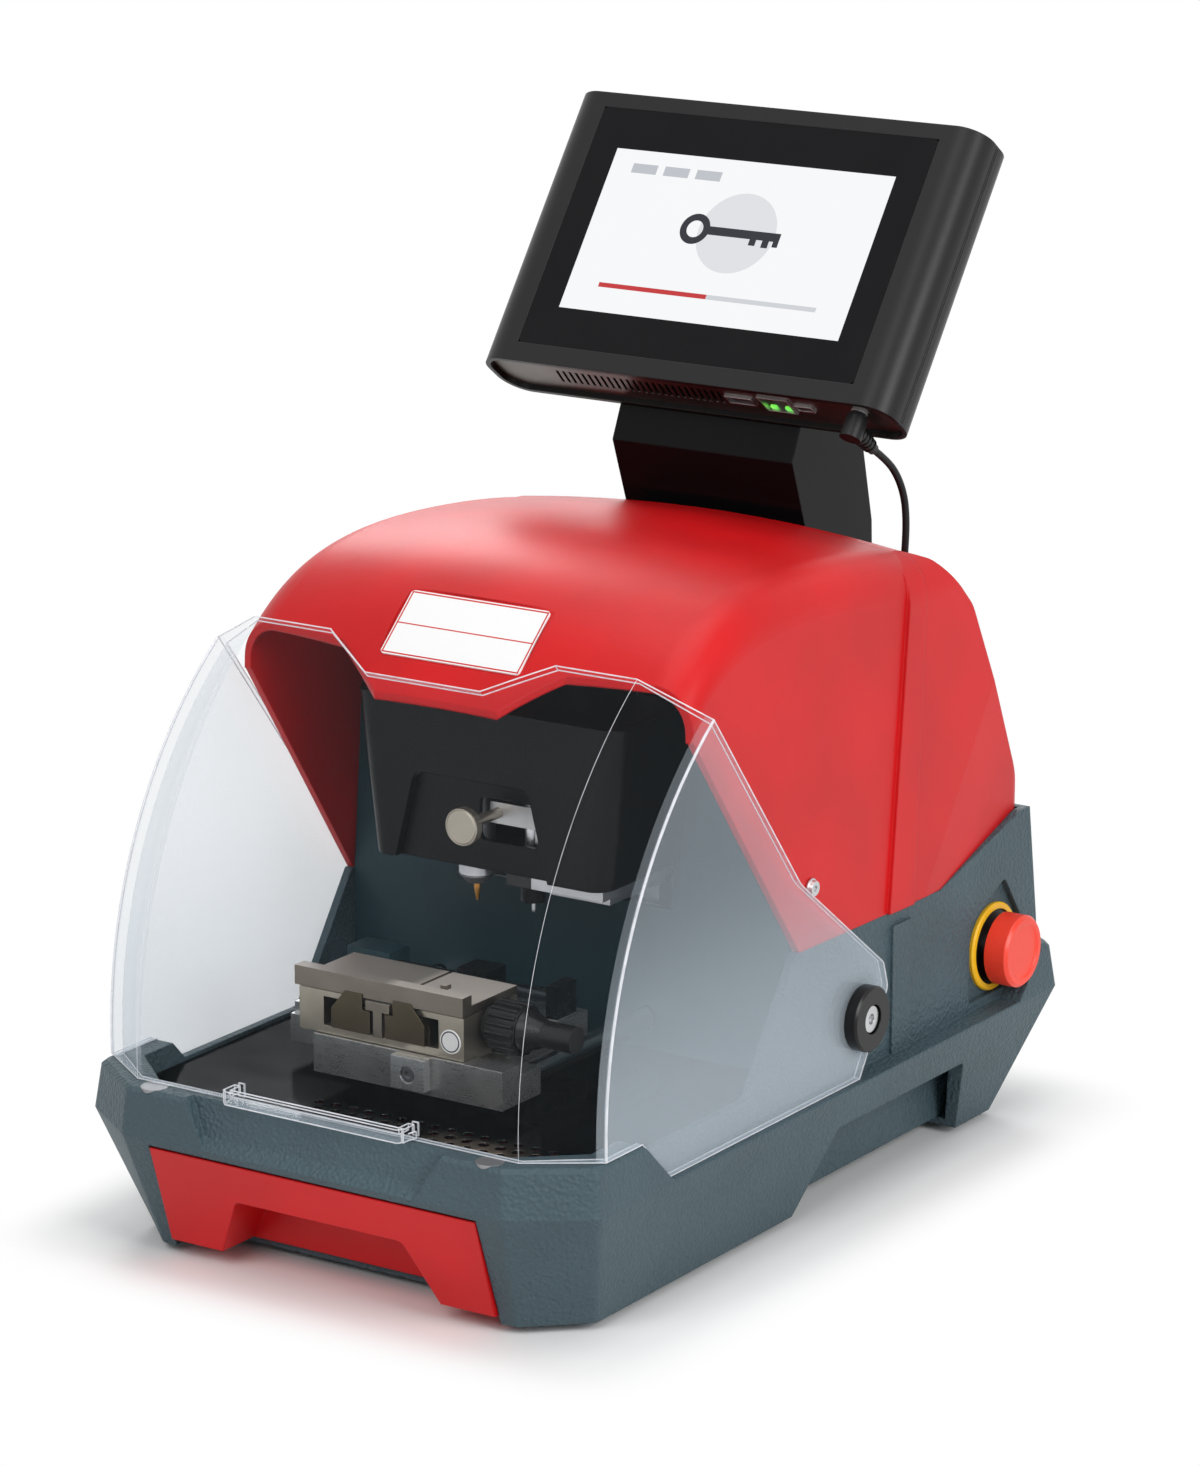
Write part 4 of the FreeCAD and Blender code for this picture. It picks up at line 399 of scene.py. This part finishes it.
class KEYMACHINE_OT_stage(MachineOperator, bpy.types.Operator):
    """Camera, floor, lamps and background"""
    bl_idname = "keymachine.stage"
    bl_label = "Stage"

    def make(self, colours, sizes, studio):
        scene = bpy.context.scene
        scene.view_settings.view_transform = "Standard"
        camera = bpy.data.cameras.new("photo_camera")
        camera.sensor_fit = "VERTICAL"
        camera.sensor_height = SENSOR_HEIGHT
        camera.lens = studio.lens
        camera.clip_end = VIEW_END
        eye = bpy.data.objects.new("photo_camera", camera)
        turn = Matrix((CAMERA_RIGHT, CAMERA_UP, CAMERA_BACK)).transposed().to_4x4()
        eye.matrix_world = Matrix.Translation(CAMERA_PLACE) @ turn
        scene.collection.objects.link(eye)
        scene.camera = eye
        for name, place, size, power in LAMPS:
            self.lamp(name, place, size, getattr(studio, power))
        self.background(studio)
        self.floor(studio)

    def lamp(self, name, place, size, power):
        light = bpy.data.lights.new(name, "AREA")
        light.shape = "SQUARE"
        light.size = size
        light.energy = power
        obj = bpy.data.objects.new(name, light)
        aim = LAMP_AIM - Vector(place)
        obj.matrix_world = Matrix.Translation(place) @ aim.to_track_quat("-Z", "Y").to_matrix().to_4x4()
        bpy.context.scene.collection.objects.link(obj)

    def seen(self, sheet):
        """1 where the camera, a reflection or a clear piece looks."""
        path = sheet.node("ShaderNodeLightPath")
        camera, glossy, through = [Value(sheet, path.outputs[name]) for name in
                                   ("Is Camera Ray", "Is Glossy Ray", "Is Transmission Ray")]
        return camera.most(glossy).most(through)

    def background(self, studio):
        world = bpy.data.worlds.new("white_studio")
        world.use_nodes = True
        sheet = Sheet(world.node_tree)
        seen = self.seen(sheet)
        strength = seen * (1 - studio.ambient) + studio.ambient
        glow = sheet.read("ShaderNodeBackground", 0, (), {"Color": (1, 1, 1, 1), "Strength": strength})
        sheet.node("ShaderNodeOutputWorld", (), {"Surface": glow})
        bpy.context.scene.world = world

    def floor(self, studio):
        """Pale floor that takes the shadow next to the base and turns white away from it."""
        bm = bmesh.new()
        bmesh.ops.create_grid(bm, x_segments=1, y_segments=1, size=FLOOR_REACH)
        mesh = bpy.data.meshes.new("studio_floor")
        bm.to_mesh(mesh)
        bm.free()
        finish = Finish("pale_floor", {"Base Color": tuple(studio.floor) + (1,), "Roughness": 0.9})
        x, y, _ = finish.axes()
        across, along = (abs(x) - BASE_HALF_WIDE).most(0), (abs(y) - BASE_HALF_DEEP).most(0)
        far = (across * across + along * along).root().ease(*SHADOW_FADE)
        white = finish.read("ShaderNodeEmission", 0, (), {"Color": (1, 1, 1, 1), "Strength": 1.0})
        mixed = finish.read("ShaderNodeMixShader", 0, (), {0: far * self.seen(finish),
                                                           1: Value(finish, finish.shader.outputs[0]),
                                                           2: white})
        finish.tree.links.new(mixed.socket, finish.output.inputs["Surface"])
        mesh.materials.append(finish.material)
        obj = bpy.data.objects.new("studio_floor", mesh)
        bpy.context.scene.collection.objects.link(obj)


class KEYMACHINE_OT_lead(MachineOperator, bpy.types.Operator):
    """Display lead from its plug down into the hood"""
    bl_idname = "keymachine.lead"
    bl_label = "Display lead"

    def make(self, colours, sizes, studio):
        curve = bpy.data.curves.new("display_lead", "CURVE")
        curve.dimensions = "3D"
        spline = curve.splines.new("NURBS")
        spline.points.add(len(LEAD_ROUTE) - 1)
        for point, place in zip(spline.points, LEAD_ROUTE):
            point.co = tuple(c * MM for c in place) + (1.0,)
        spline.order_u = 3
        spline.use_endpoint_u = True
        spline.resolution_u = 12
        curve.bevel_depth = sizes.lead_radius
        curve.bevel_resolution = 5
        curve.use_fill_caps = True
        finish = moulded("lead_jacket", colours.black, 0.42, 0.3 * MM, 0.02 * MM, 0.2 * MM, 0.0)
        curve.materials.append(finish.material)
        lead = bpy.data.objects.new("display_lead", curve)
        bpy.context.scene.collection.objects.link(lead)
        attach(lead, "machine")
        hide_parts("display_cable")
        dress(finish, "dc_plug", "cable_grommet")
        self.plug_ribs(finish)

    def plug_ribs(self, finish):
        """Rounded rings along the plug's tapered boot."""
        thick, thin, boot_length, proud = 4.6, 2.65, 22, 0.25
        count, first, pitch = 5, 4, 3.4
        rise, half_width, corners = 0.35, 0.6, 10
        place = SCREEN_PLACE @ facing_place((92, -36, -14), (0, 0, -1))
        bm = bmesh.new()
        for step in range(count):
            height = first + step * pitch
            radius = thick - (thick - thin) * height / boot_length + proud
            ring = [(radius + rise * math.cos(a), height + half_width * math.sin(a))
                    for a in (math.tau * i / corners for i in range(corners + 1))]
            lathe(bm, ring, place, 32)
        piece("plug_ribs", bm, "machine", finish)


class KEYMACHINE_OT_base(MachineOperator, bpy.types.Operator):
    """Moulded base, feet, pan, rim discs, tray and back wall"""
    bl_idname = "keymachine.base"
    bl_label = "Base"

    def make(self, colours, sizes, studio):
        dress(moulded("slate_texture", colours.slate, 0.5, sizes.pebble, 1.0 * MM, 1.2 * MM, 0.35),
              "base_housing", "bottom_pan")
        dress(moulded("slate_paint", colours.wall, 0.42, 0.8 * MM, 0.03 * MM, 0.4 * MM),
              "chamber_back_wall")
        dress(moulded("rubber", hue(26, 26, 27), 0.75, 0.5 * MM, 0.05 * MM), "rubber_feet")
        dress(machined("disc_plating", hue(150, 151, 154), 0.4), "rim_magnets")
        tray = machined("tray_polish", hue(74, 74, 74), 0.06, (0.05, 1, 1), 0.5 * MM, 0.0005 * MM)
        left, right, front, rear = -10 * MM, 90 * MM, -190 * MM, -150 * MM
        x, y, _ = tray.axes()
        lit = x.ease(left, right) * (1 - y.ease(front, rear))
        tray.feed("Base Color", tray.between(lit, tray.tone, hue(196, 176, 156)))
        tray.feed("Specular Tint", (0.36, 0.36, 0.36, 1))
        dress(tray, "chip_tray")


class KEYMACHINE_OT_hood(MachineOperator, bpy.types.Operator):
    """Red hood and drawer, the badge and the side screws"""
    bl_idname = "keymachine.hood"
    bl_label = "Hood and drawer"

    def make(self, colours, sizes, studio):
        red = moulded("red_satin", colours.red, 0.4, 0.55 * MM, 0.045 * MM, 1.2 * MM, 0.12)
        dress(red, "hood", "chip_drawer")
        dress(machined("screw_plating", colours.steel, 0.25), "hood_screws")
        self.badge(colours)

    def badge(self, colours):
        """White plate with a thin red frame and a rule across it."""
        finish = Finish("badge_print", {"Coat Weight": 0.4, "Coat Roughness": 0.1})
        across, along, _ = finish.turned_axes(BADGE_MIDDLE, BADGE_TURN)
        half_wide, half_tall, line = 36.9 * MM, 16.9 * MM, 0.8 * MM
        rule_drop, rule_half = 0.4 * MM, 0.35 * MM
        inner = (abs(across) < half_wide - line) * (abs(along) < half_tall - line)
        outer = (abs(across) < half_wide) * (abs(along) < half_tall)
        rule = (abs(along + rule_drop) < rule_half) * inner
        border = outer - inner
        ink = border.most(rule)
        paper = finish.noise(0.6 * MM, 3.0)
        plain = finish.between(paper, shade(colours.badge, 0.97), colours.badge)
        finish.feed("Base Color", finish.between(ink, plain, colours.red))
        finish.feed("Roughness", 0.3 + paper * 0.1)
        finish.relief(paper, 0.01 * MM, finish.rounded(0.3 * MM))
        dress(finish, "badge_plate")


class KEYMACHINE_OT_guard(MachineOperator, bpy.types.Operator):
    """Clear hinged guard with its pivot knobs"""
    bl_idname = "keymachine.guard"
    bl_label = "Guard"

    def make(self, colours, sizes, studio):
        finish = Finish("clear_guard", {"Base Color": (0.7, 0.8, 0.88, 1), "Roughness": 0.08})
        x, _, z = finish.axes()
        gaze = finish.read("ShaderNodeLayerWeight", "Fresnel", (), {"Blend": 0.1})
        # Painted reflection: the side panels carry a bluish-white film, thickest at the bottom, standing in
        # for the white floor mirrored in them.
        side_x, low_z, high_z = 130.5 * MM, 80 * MM, 200 * MM
        front_film, low_reflection, reflection_loss, grazing_film = 0.005, 0.24, 0.14, 0.3
        side = abs(x) > side_x
        side_reflection = low_reflection - z.ease(low_z, high_z) * reflection_loss
        film = front_film + side * side_reflection + gaze * grazing_film
        self.see_through(finish, film)
        dress(finish, "guard_shield")
        dress(moulded("pivot_black", colours.black, 0.3, 0.4 * MM, 0.02 * MM, 0.5 * MM),
              "pivot_spacers", "pivot_knobs")
        dress(machined("pivot_screw_steel", colours.steel, 0.18), "pivot_screws")
        self.bright_edges(sizes)

    def see_through(self, finish, film):
        """Let light pass a clear sheet, all but a film of it."""
        clear = finish.read("ShaderNodeBsdfTransparent", 0, (), {"Color": (0.975, 0.98, 0.985, 1)})
        mixed = finish.read("ShaderNodeMixShader", 0, (), {0: film, 1: clear,
                                                           2: Value(finish, finish.shader.outputs[0])})
        finish.tree.links.new(mixed.socket, finish.output.inputs["Surface"])

    def bright_edges(self, sizes):
        """Slim beads along the guard's cut edges and bends, with a painted highlight for the light that
        gathers in the clear sheet's edges.
        """
        cut_turn, corner_turn, bend_turn = 70, 45, 20
        sheet = bmesh.new()
        sheet.from_mesh(nodes["guard_shield"].data)
        bmesh.ops.remove_doubles(sheet, verts=sheet.verts, dist=WELD)
        bm = bmesh.new()
        for edge in sheet.edges:
            if len(edge.link_faces) != 2:
                continue
            turn = math.degrees(edge.calc_face_angle())
            cut_edge, outer = turn > cut_turn, edge.is_convex
            if cut_edge or outer and turn > bend_turn:
                radius = (sizes.edge_bead if cut_edge else sizes.corner_bead if turn > corner_turn
                          else sizes.bend_bead)
                start, end = [vert.co.copy() for vert in edge.verts]
                lean = (end - start).to_track_quat("Z", "Y").to_matrix().to_4x4()
                bmesh.ops.create_cone(bm, cap_ends=True, segments=6, radius1=radius,
                                      radius2=radius, depth=(end - start).length,
                                      matrix=Matrix.Translation((start + end) / 2) @ lean)
        sheet.free()
        # Painted highlight: the beads' whitish film, varied by the sparkle noise, stands in for the light
        # along the edges.
        finish = Finish("guard_edge", {"Base Color": (0.9, 0.91, 0.95, 1)})
        sparkle = finish.noise(9 * MM, 3.0)
        finish.feed("Roughness", 0.08 + sparkle * 0.1)
        self.see_through(finish, 0.25 + sparkle * 0.6)
        piece("guard_edges", bm, "guard", finish)


class KEYMACHINE_OT_display(MachineOperator, bpy.types.Operator):
    """Display housing, glass with its lit screen, ports, port lights, side lines and neck"""
    bl_idname = "keymachine.display"
    bl_label = "Display"

    def make(self, colours, sizes, studio):
        shell = moulded("display_black", colours.black, 0.36, 0.5 * MM, 0.03 * MM, 0.8 * MM, 0.2)
        dress(shell, "display_front_frame", "display_rear_shell")
        dress(moulded("neck_black", colours.black, 0.2, 0.45 * MM, 0.008 * MM, 1.0 * MM, 0.1, 0.1),
              "display_neck")
        dress(machined("end_plate_metal", hue(110, 106, 102), 0.3, (0.04, 1, 1)), "display_end_plates")
        dress(machined("port_shell", colours.steel, 0.22), "display_ports")
        dress(moulded("panel_back", hue(60, 62, 64), 0.5, 0.6 * MM, 0.02 * MM), "screen_panel")
        self.glass()
        self.port_lights()
        self.side_lines(sizes, shell)

    def port_lights(self):
        """Two small green lights in the network port."""
        finish = Finish("port_light", {"Roughness": 0.3, "Emission Strength": 1.0})
        tint = finish.noise(3 * MM, 1.0)
        finish.feed("Emission Color", finish.between(tint, hue(40, 210, 70), hue(150, 240, 80)))
        finish.feed("Base Color", hue(60, 160, 70) + (1,))
        size, low, deep, bevel = (3.2, 1.4, 2.2), -26.6, -23.2, 0.3
        bm = bmesh.new()
        for across in (41.2, 49.2):
            place = SCREEN_PLACE @ Matrix.Translation(Vector((across, low, deep)) * MM)
            rounded_block(bm, size, place, bevel)
        piece("port_lights", bm, "machine", finish)

    def side_lines(self, sizes, finish):
        """Pairs of slim raised lines along the housing's two sides."""
        out, middle, length = 112.9, 42.25, 142
        upright = Matrix.Rotation(math.radians(90), 4, "X")
        bm = bmesh.new()
        for side in (-1, 1):
            for depth in (-17.2, -18.8):
                place = SCREEN_PLACE @ Matrix.Translation(Vector((side * out, middle, depth)) * MM)
                bmesh.ops.create_cone(bm, cap_ends=True, segments=10, radius1=sizes.seam_bead,
                                      radius2=sizes.seam_bead, depth=length * MM, matrix=place @ upright)
        piece("display_seam", bm, "machine", finish)

    def glass(self):
        """Black glass; behind it a lit page with three tabs, a plain key sign and a progress bar."""
        finish = Finish("screen_glass", {"Roughness": 0.07, "Emission Strength": 1.0,
                                         "Specular IOR Level": 0.1})
        u, v, _ = finish.turned_axes(SCREEN_ORIGIN, SCREEN_TURN)

        def box(middle_u, middle_v, wide, tall):
            return (abs(u - middle_u * MM) < wide / 2 * MM) * (abs(v - middle_v * MM) < tall / 2 * MM)

        def disc(middle_u, middle_v, radius):
            du, dv = u - middle_u * MM, v - middle_v * MM
            return (du * du + dv * dv).root() < radius * MM

        key_row, teeth_row, bar_row, tab_row = 48, 44.6, 14, 76
        bow_u, bow_radius, thick = -19, 8, 4.4
        bar_wide, bar_tall = 120, 2.4
        tab_wide, tab_tall = 14, 5
        lit = box(0, SCREEN_TALL / 2, SCREEN_WIDE, SCREEN_TALL)
        halo = disc(4, key_row, 21)
        ring = disc(bow_u, key_row, bow_radius) - disc(bow_u, key_row, thick)
        blade = box(8, key_row, 40, thick)
        teeth = box(14, teeth_row, 3.6, 4).most(box(21, teeth_row, 3.6, 5))
        teeth = teeth.most(box(26.5, teeth_row, 3, 3.4))
        bar = box(0, bar_row, bar_wide, bar_tall)
        done = box(-bar_wide / 4, bar_row, bar_wide / 2, bar_tall)
        tabs = box(-58, tab_row, tab_wide, tab_tall).most(box(-40, tab_row, tab_wide, tab_tall))
        tabs = tabs.most(box(-22, tab_row, tab_wide, tab_tall))
        page = finish.between(halo, hue(246, 247, 248), hue(222, 224, 227))
        page = finish.between(ring.most(blade).most(teeth), page, hue(38, 42, 48))
        page = finish.between(bar, page, hue(206, 209, 213))
        page = finish.between(done, page, hue(196, 48, 50))
        page = finish.between(tabs, page, hue(190, 194, 200))
        grain = finish.noise(0.5 * MM, 1.0)
        page = finish.between(grain * 0.04, page, (0.6, 0.6, 0.62))
        finish.feed("Emission Color", finish.between(lit, (0, 0, 0), page))
        smear = finish.noise(30 * MM, 3.0)
        finish.feed("Base Color", finish.between(smear, (0.004, 0.004, 0.005), (0.008, 0.008, 0.009)))
        finish.feed("Roughness", 0.05 + smear * 0.06)
        dress(finish, "display_glass")


class KEYMACHINE_OT_stop(MachineOperator, bpy.types.Operator):
    """Emergency stop: ring, block, stem and cap"""
    bl_idname = "keymachine.stop"
    bl_label = "Emergency stop"

    def make(self, colours, sizes, studio):
        dress(moulded("stop_yellow", colours.yellow, 0.4, 0.5 * MM, 0.02 * MM, 0.3 * MM), "estop_collar")
        dress(moulded("stop_black", colours.black, 0.4, 0.5 * MM, 0.02 * MM), "estop_block")
        dress(moulded("stop_cap_red", colours.stop_red, 0.35, 0.4 * MM, 0.02 * MM, 0.8 * MM, 0.2, 0.5),
              "estop_cap")
        dress(machined("stop_stem", colours.steel, 0.3), "estop_stem")


class KEYMACHINE_OT_head(MachineOperator, bpy.types.Operator):
    """Cutting head: cover, spindle, cutter, tracer and knurled thumb screw"""
    bl_idname = "keymachine.head"
    bl_label = "Cutting head"

    def make(self, colours, sizes, studio):
        dress(moulded("cover_black", shade(colours.black, 0.6), 0.34, 0.8 * MM, 0.06 * MM, 0.9 * MM,
                      0.2, 0.16), "head_cover")
        paint_ends, metal_starts = 20.8 * MM, 21.2 * MM
        lip = machined("head_aluminium", hue(196, 197, 200), 0.28, (0.05, 1, 1))
        bare = lip.axes()[0].ease(paint_ends, metal_starts)
        lip.feed("Base Color", lip.between(bare, colours.black, lip.tone))
        lip.feed("Metallic", bare)
        dress(lip, "head_plate")
        dress(machined("nose_steel", hue(196, 197, 200), 0.26, metal=0.9), "spindle", "spindle_housing")
        dress(machined("tracer_steel", colours.steel, 0.2), "tracer_pin")
        black_ends, guide_starts = 178 * MM, 180 * MM
        holder = machined("holder_black", hue(190, 190, 190), 0.3, metal=0.9)
        guide = holder.axes()[2].ease(black_ends, guide_starts)
        holder.feed("Base Color", holder.between(guide, hue(24, 24, 26), holder.tone))
        dress(holder, "tracer_holder")
        dress(machined("carbide", colours.carbide, 0.25), "cutter")
        plated = machined("thumb_nickel", hue(176, 168, 155), 0.3, metal=0.9)
        dress(plated, "thumb_screw")
        dress(machined("pulley_metal", hue(190, 190, 192), 0.3), "motor_pulley")
        dress(moulded("belt_rubber", hue(22, 22, 23), 0.7, 0.6 * MM, 0.05 * MM), "drive_belt")
        dress(machined("motor_case", hue(70, 71, 74), 0.4), "spindle_motor")
        self.knurl(sizes, plated)

    def knurl(self, sizes, plated):
        """Ring of teeth round the thumb screw's disc."""
        inner, rim, half, narrow, low = 8.0, 8.7, 2.2, 0.2, 0.3
        profile = [(inner, -half), (rim - narrow, -half), (rim, low - half), (rim, half - low),
                   (rim - narrow, half), (inner, half), (inner, -half)]
        steps = 2 * sizes.knurl_teeth
        bm = bmesh.new()
        lathe(bm, profile, Matrix.Identity(4), steps)
        for vert in bm.verts:
            flat = Vector((vert.co.x, vert.co.y))
            turn = round(math.atan2(flat.y, flat.x) / (math.tau / steps)) % 2
            if turn and flat.length > (rim - narrow / 2) * MM:
                longer = (flat.length - sizes.knurl_rise) / flat.length
                vert.co.x *= longer
                vert.co.y *= longer
        bmesh.ops.transform(bm, matrix=facing_place((0, -94.5, 190), (0, -1, 0)), verts=bm.verts)
        piece("thumb_knurl", bm, "lock_screw", plated, 20)


class KEYMACHINE_OT_clamp(MachineOperator, bpy.types.Operator):
    """Key clamp: body, jaws with face plates, tee, knob, screw and round plate"""
    bl_idname = "keymachine.clamp"
    bl_label = "Clamp"

    def make(self, colours, sizes, studio):
        plated = machined("clamp_nickel", colours.nickel, 0.3, (0.06, 1, 1), 0.4 * MM, 0.005 * MM)
        body_rear, nut_front = -97.5 * MM, -96.5 * MM
        shaded = plated.axes()[1].ease(body_rear, nut_front)
        plated.feed("Base Color", plated.between(shaded, plated.tone, hue(52, 58, 60)))
        dress(plated, "clamp_body")
        jaw = machined("jaw_steel", colours.dark_steel, 0.34, (0.06, 1, 1))
        dress(jaw, "jaw_left", "jaw_right")
        upper = machined("top_nickel", hue(128, 120, 110), 0.3, (0.06, 1, 1))
        brushed_top_painted_light(upper, hue(214, 206, 196))
        dress(upper, "top_jaw")
        self.jaw_faces(jaw)
        self.tee(upper)
        dress(moulded("knob_black", colours.black, 0.35, 0.4 * MM, 0.02 * MM, 0.4 * MM, 0.3), "clamp_knob")
        dress(machined("screw_steel", colours.steel, 0.2), "clamp_screw")
        self.round_plate(sizes.sticker_radius / MM)

    def tee(self, finish):
        """T-shaped guide between the jaws."""
        stem, bar = 2.4, 6.5
        foot, shoulder, top = 101.2, 113.2, 117.4
        front, back = -142.7, -139.9
        half = [(stem, foot), (stem, shoulder), (bar, shoulder), (bar, top)]
        corners = ([(CLAMP_MIDDLE + x, z) for x, z in half]
                   + [(CLAMP_MIDDLE - x, z) for x, z in reversed(half)])
        bm = bmesh.new()
        slab(bm, corners[-1:] + corners[:-1], front, back)
        piece("clamp_tee", bm, "carriage", finish)

    def round_plate(self, radius):
        """White disc with a dark ring on the body's front."""
        middle_x, front, middle_z = 24, -140, 105.5
        thick, bevel = 0.35, 0.15
        ring_in, ring_out = 4.3 * MM, 4.9 * MM
        bm = bmesh.new()
        lathe(bm, [(0, 0), (radius, 0), (radius, thick - bevel), (radius - bevel, thick), (0, thick)],
              facing_place((middle_x, front, middle_z), (0, -1, 0)))
        disc = Finish("round_plate", {"Roughness": 0.35})
        x, _, z = disc.axes()
        dx, dz = x - middle_x * MM, z - middle_z * MM
        reach = (dx * dx + dz * dz).root()
        ring = (reach > ring_in) * (reach < ring_out)
        paper = disc.noise(0.7 * MM, 2.0)
        tone = disc.between(paper, hue(226, 226, 224), hue(240, 240, 238))
        disc.feed("Base Color", disc.between(ring, tone, hue(30, 30, 32)))
        disc.feed("Roughness", 0.3 + paper * 0.12)
        piece("clamp_round_plate", bm, "carriage", disc)

    def jaw_faces(self, finish):
        """Chamfered face plates on the two jaws, flush with the top bar's front."""
        foot, shoulder, notch_z, notch_x = 101.6, 111, 112.6, 8.4
        plate_top, heel_top = 120, 113.9
        plate = [(4.2, foot), (25.5, foot), (25.5, shoulder), (18, plate_top), (notch_x, plate_top),
                 (notch_x, notch_z), (4.2, notch_z)]
        heel = [(6, foot), (25, foot), (25, shoulder), (22, heel_top), (notch_x, heel_top),
                (notch_x, notch_z), (6, notch_z)]
        for side, body in ((-1, "left_jaw"), (1, "right_jaw")):
            bm = bmesh.new()
            slab(bm, [(CLAMP_MIDDLE + side * x, z) for x, z in plate], -142.5, -142.05)
            slab(bm, [(CLAMP_MIDDLE + side * x, z) for x, z in heel], -142.2, -138.6)
            piece(body + "_face", bm, body, finish)


class KEYMACHINE_OT_table(MachineOperator, bpy.types.Operator):
    """Table with its front block and socket screw, shafts, and the cross motor and screw"""
    bl_idname = "keymachine.table"
    bl_label = "Table"

    def make(self, colours, sizes, studio):
        ground = machined("table_ground", hue(190, 190, 189), 0.2, (0.05, 1, 1), 0.5 * MM, 0.0006 * MM,
                          metal=0.9)
        _, y, z = ground.axes()
        block_front, block_rear = -144 * MM, -143 * MM
        plate_top, bearing_foot = 97.2 * MM, 97.6 * MM
        block, bearing = 1 - y.ease(block_front, block_rear), z.ease(plate_top, bearing_foot)
        tone = ground.between(block, ground.tone, hue(222, 223, 225))
        ground.feed("Base Color", ground.between(bearing, tone, hue(48, 56, 60)))
        dress(ground, "table_plate")
        dress(machined("shaft_chrome", hue(214, 214, 216), 0.1, (1, 0.05, 1)), "table_shafts")
        dress(moulded("small_motor", colours.wall, 0.5, 0.6 * MM, 0.02 * MM), "x_motor")
        dress(machined("screw_oxide", hue(58, 64, 67), 0.4), "x_screw")
        self.socket_screw()

    def socket_screw(self):
        """Cap screw in the front block, with a round socket."""
        head, rim, socket, deep, tall = 3.6, 3.3, 1.8, 1.0, 2.4
        bm = bmesh.new()
        lathe(bm, [(0, deep), (socket, deep), (socket, tall), (rim, tall), (head, tall - (head - rim)),
                   (head, 0), (0, 0)], facing_place((6, -145.1, 89), (0, -1, 0)))
        piece("table_socket_screw", bm, "table",
              machined("socket_steel", hue(120, 121, 124), 0.35))


class KEYMACHINE_OT_inside(MachineOperator, bpy.types.Operator):
    """Frame, rails, motors, lead screws, supply and board behind the back wall"""
    bl_idname = "keymachine.inside"
    bl_label = "Inside"

    def make(self, colours, sizes, studio):
        dress(moulded("frame_casting", hue(92, 94, 97), 0.55, 1.0 * MM, 0.06 * MM), "frame_column")
        dress(machined("rail_steel", hue(200, 201, 204), 0.15, (1, 1, 0.05)), "column_rails",
              "shaft_bushes", "y_screw", "z_screw")
        dress(machined("motor_black", hue(48, 48, 50), 0.42), "z_motor", "y_motor")
        dress(machined("supply_case", hue(168, 169, 171), 0.35), "power_supply")
        dress(moulded("board_green", hue(24, 92, 52), 0.4, 1.5 * MM, 0.04 * MM), "control_board")
        inlet = moulded("inlet_black", colours.black, 0.45, 0.5 * MM, 0.03 * MM, 0.4 * MM)
        dress(inlet, "mains_inlet")
        dress(moulded("rocker_black", shade(colours.black, 0.8), 0.3, 0.4 * MM, 0.02 * MM), "power_switch")


class KeyMachine(bpy.types.PropertyGroup):
    """All settings of the machine."""
    colours: PointerProperty(type=MachineColours, name="Colours", description="Mouldings and metals")
    sizes: PointerProperty(type=MachineSizes, name="Sizes", description="Added fittings")
    studio: PointerProperty(type=StudioSettings, name="Studio", description="Floor, lamps and camera")


OPERATORS = (KEYMACHINE_OT_stage, KEYMACHINE_OT_lead, KEYMACHINE_OT_base, KEYMACHINE_OT_hood,
             KEYMACHINE_OT_guard, KEYMACHINE_OT_display, KEYMACHINE_OT_stop, KEYMACHINE_OT_head,
             KEYMACHINE_OT_clamp, KEYMACHINE_OT_table, KEYMACHINE_OT_inside)


class KEYMACHINE_PT_panel(bpy.types.Panel):
    """Lists the machine's operators and settings"""
    bl_label = "Key machine"
    bl_idname = "KEYMACHINE_PT_panel"
    bl_space_type = "VIEW_3D"
    bl_region_type = "UI"
    bl_category = "Machine"

    def draw(self, context):
        for operator in OPERATORS:
            self.layout.operator(operator.bl_idname)
        machine = context.scene.key_machine
        for group in (machine.colours, machine.sizes, machine.studio):
            column = self.layout.column(align=True)
            for name in group.__annotations__:
                column.prop(group, name)


CLASSES = (MachineColours, MachineSizes, StudioSettings, KeyMachine) + OPERATORS + (KEYMACHINE_PT_panel,)


def register():
    for cls in CLASSES:
        bpy.utils.register_class(cls)
    bpy.types.Scene.key_machine = PointerProperty(type=KeyMachine)


def unregister():
    del bpy.types.Scene.key_machine
    for cls in reversed(CLASSES):
        bpy.utils.unregister_class(cls)


def main():
    register()
    for operator in OPERATORS:
        group, name = operator.bl_idname.split(".")
        getattr(getattr(bpy.ops, group), name)()
    bpy.context.view_layer.update()


if __name__ == "__main__":
    main()
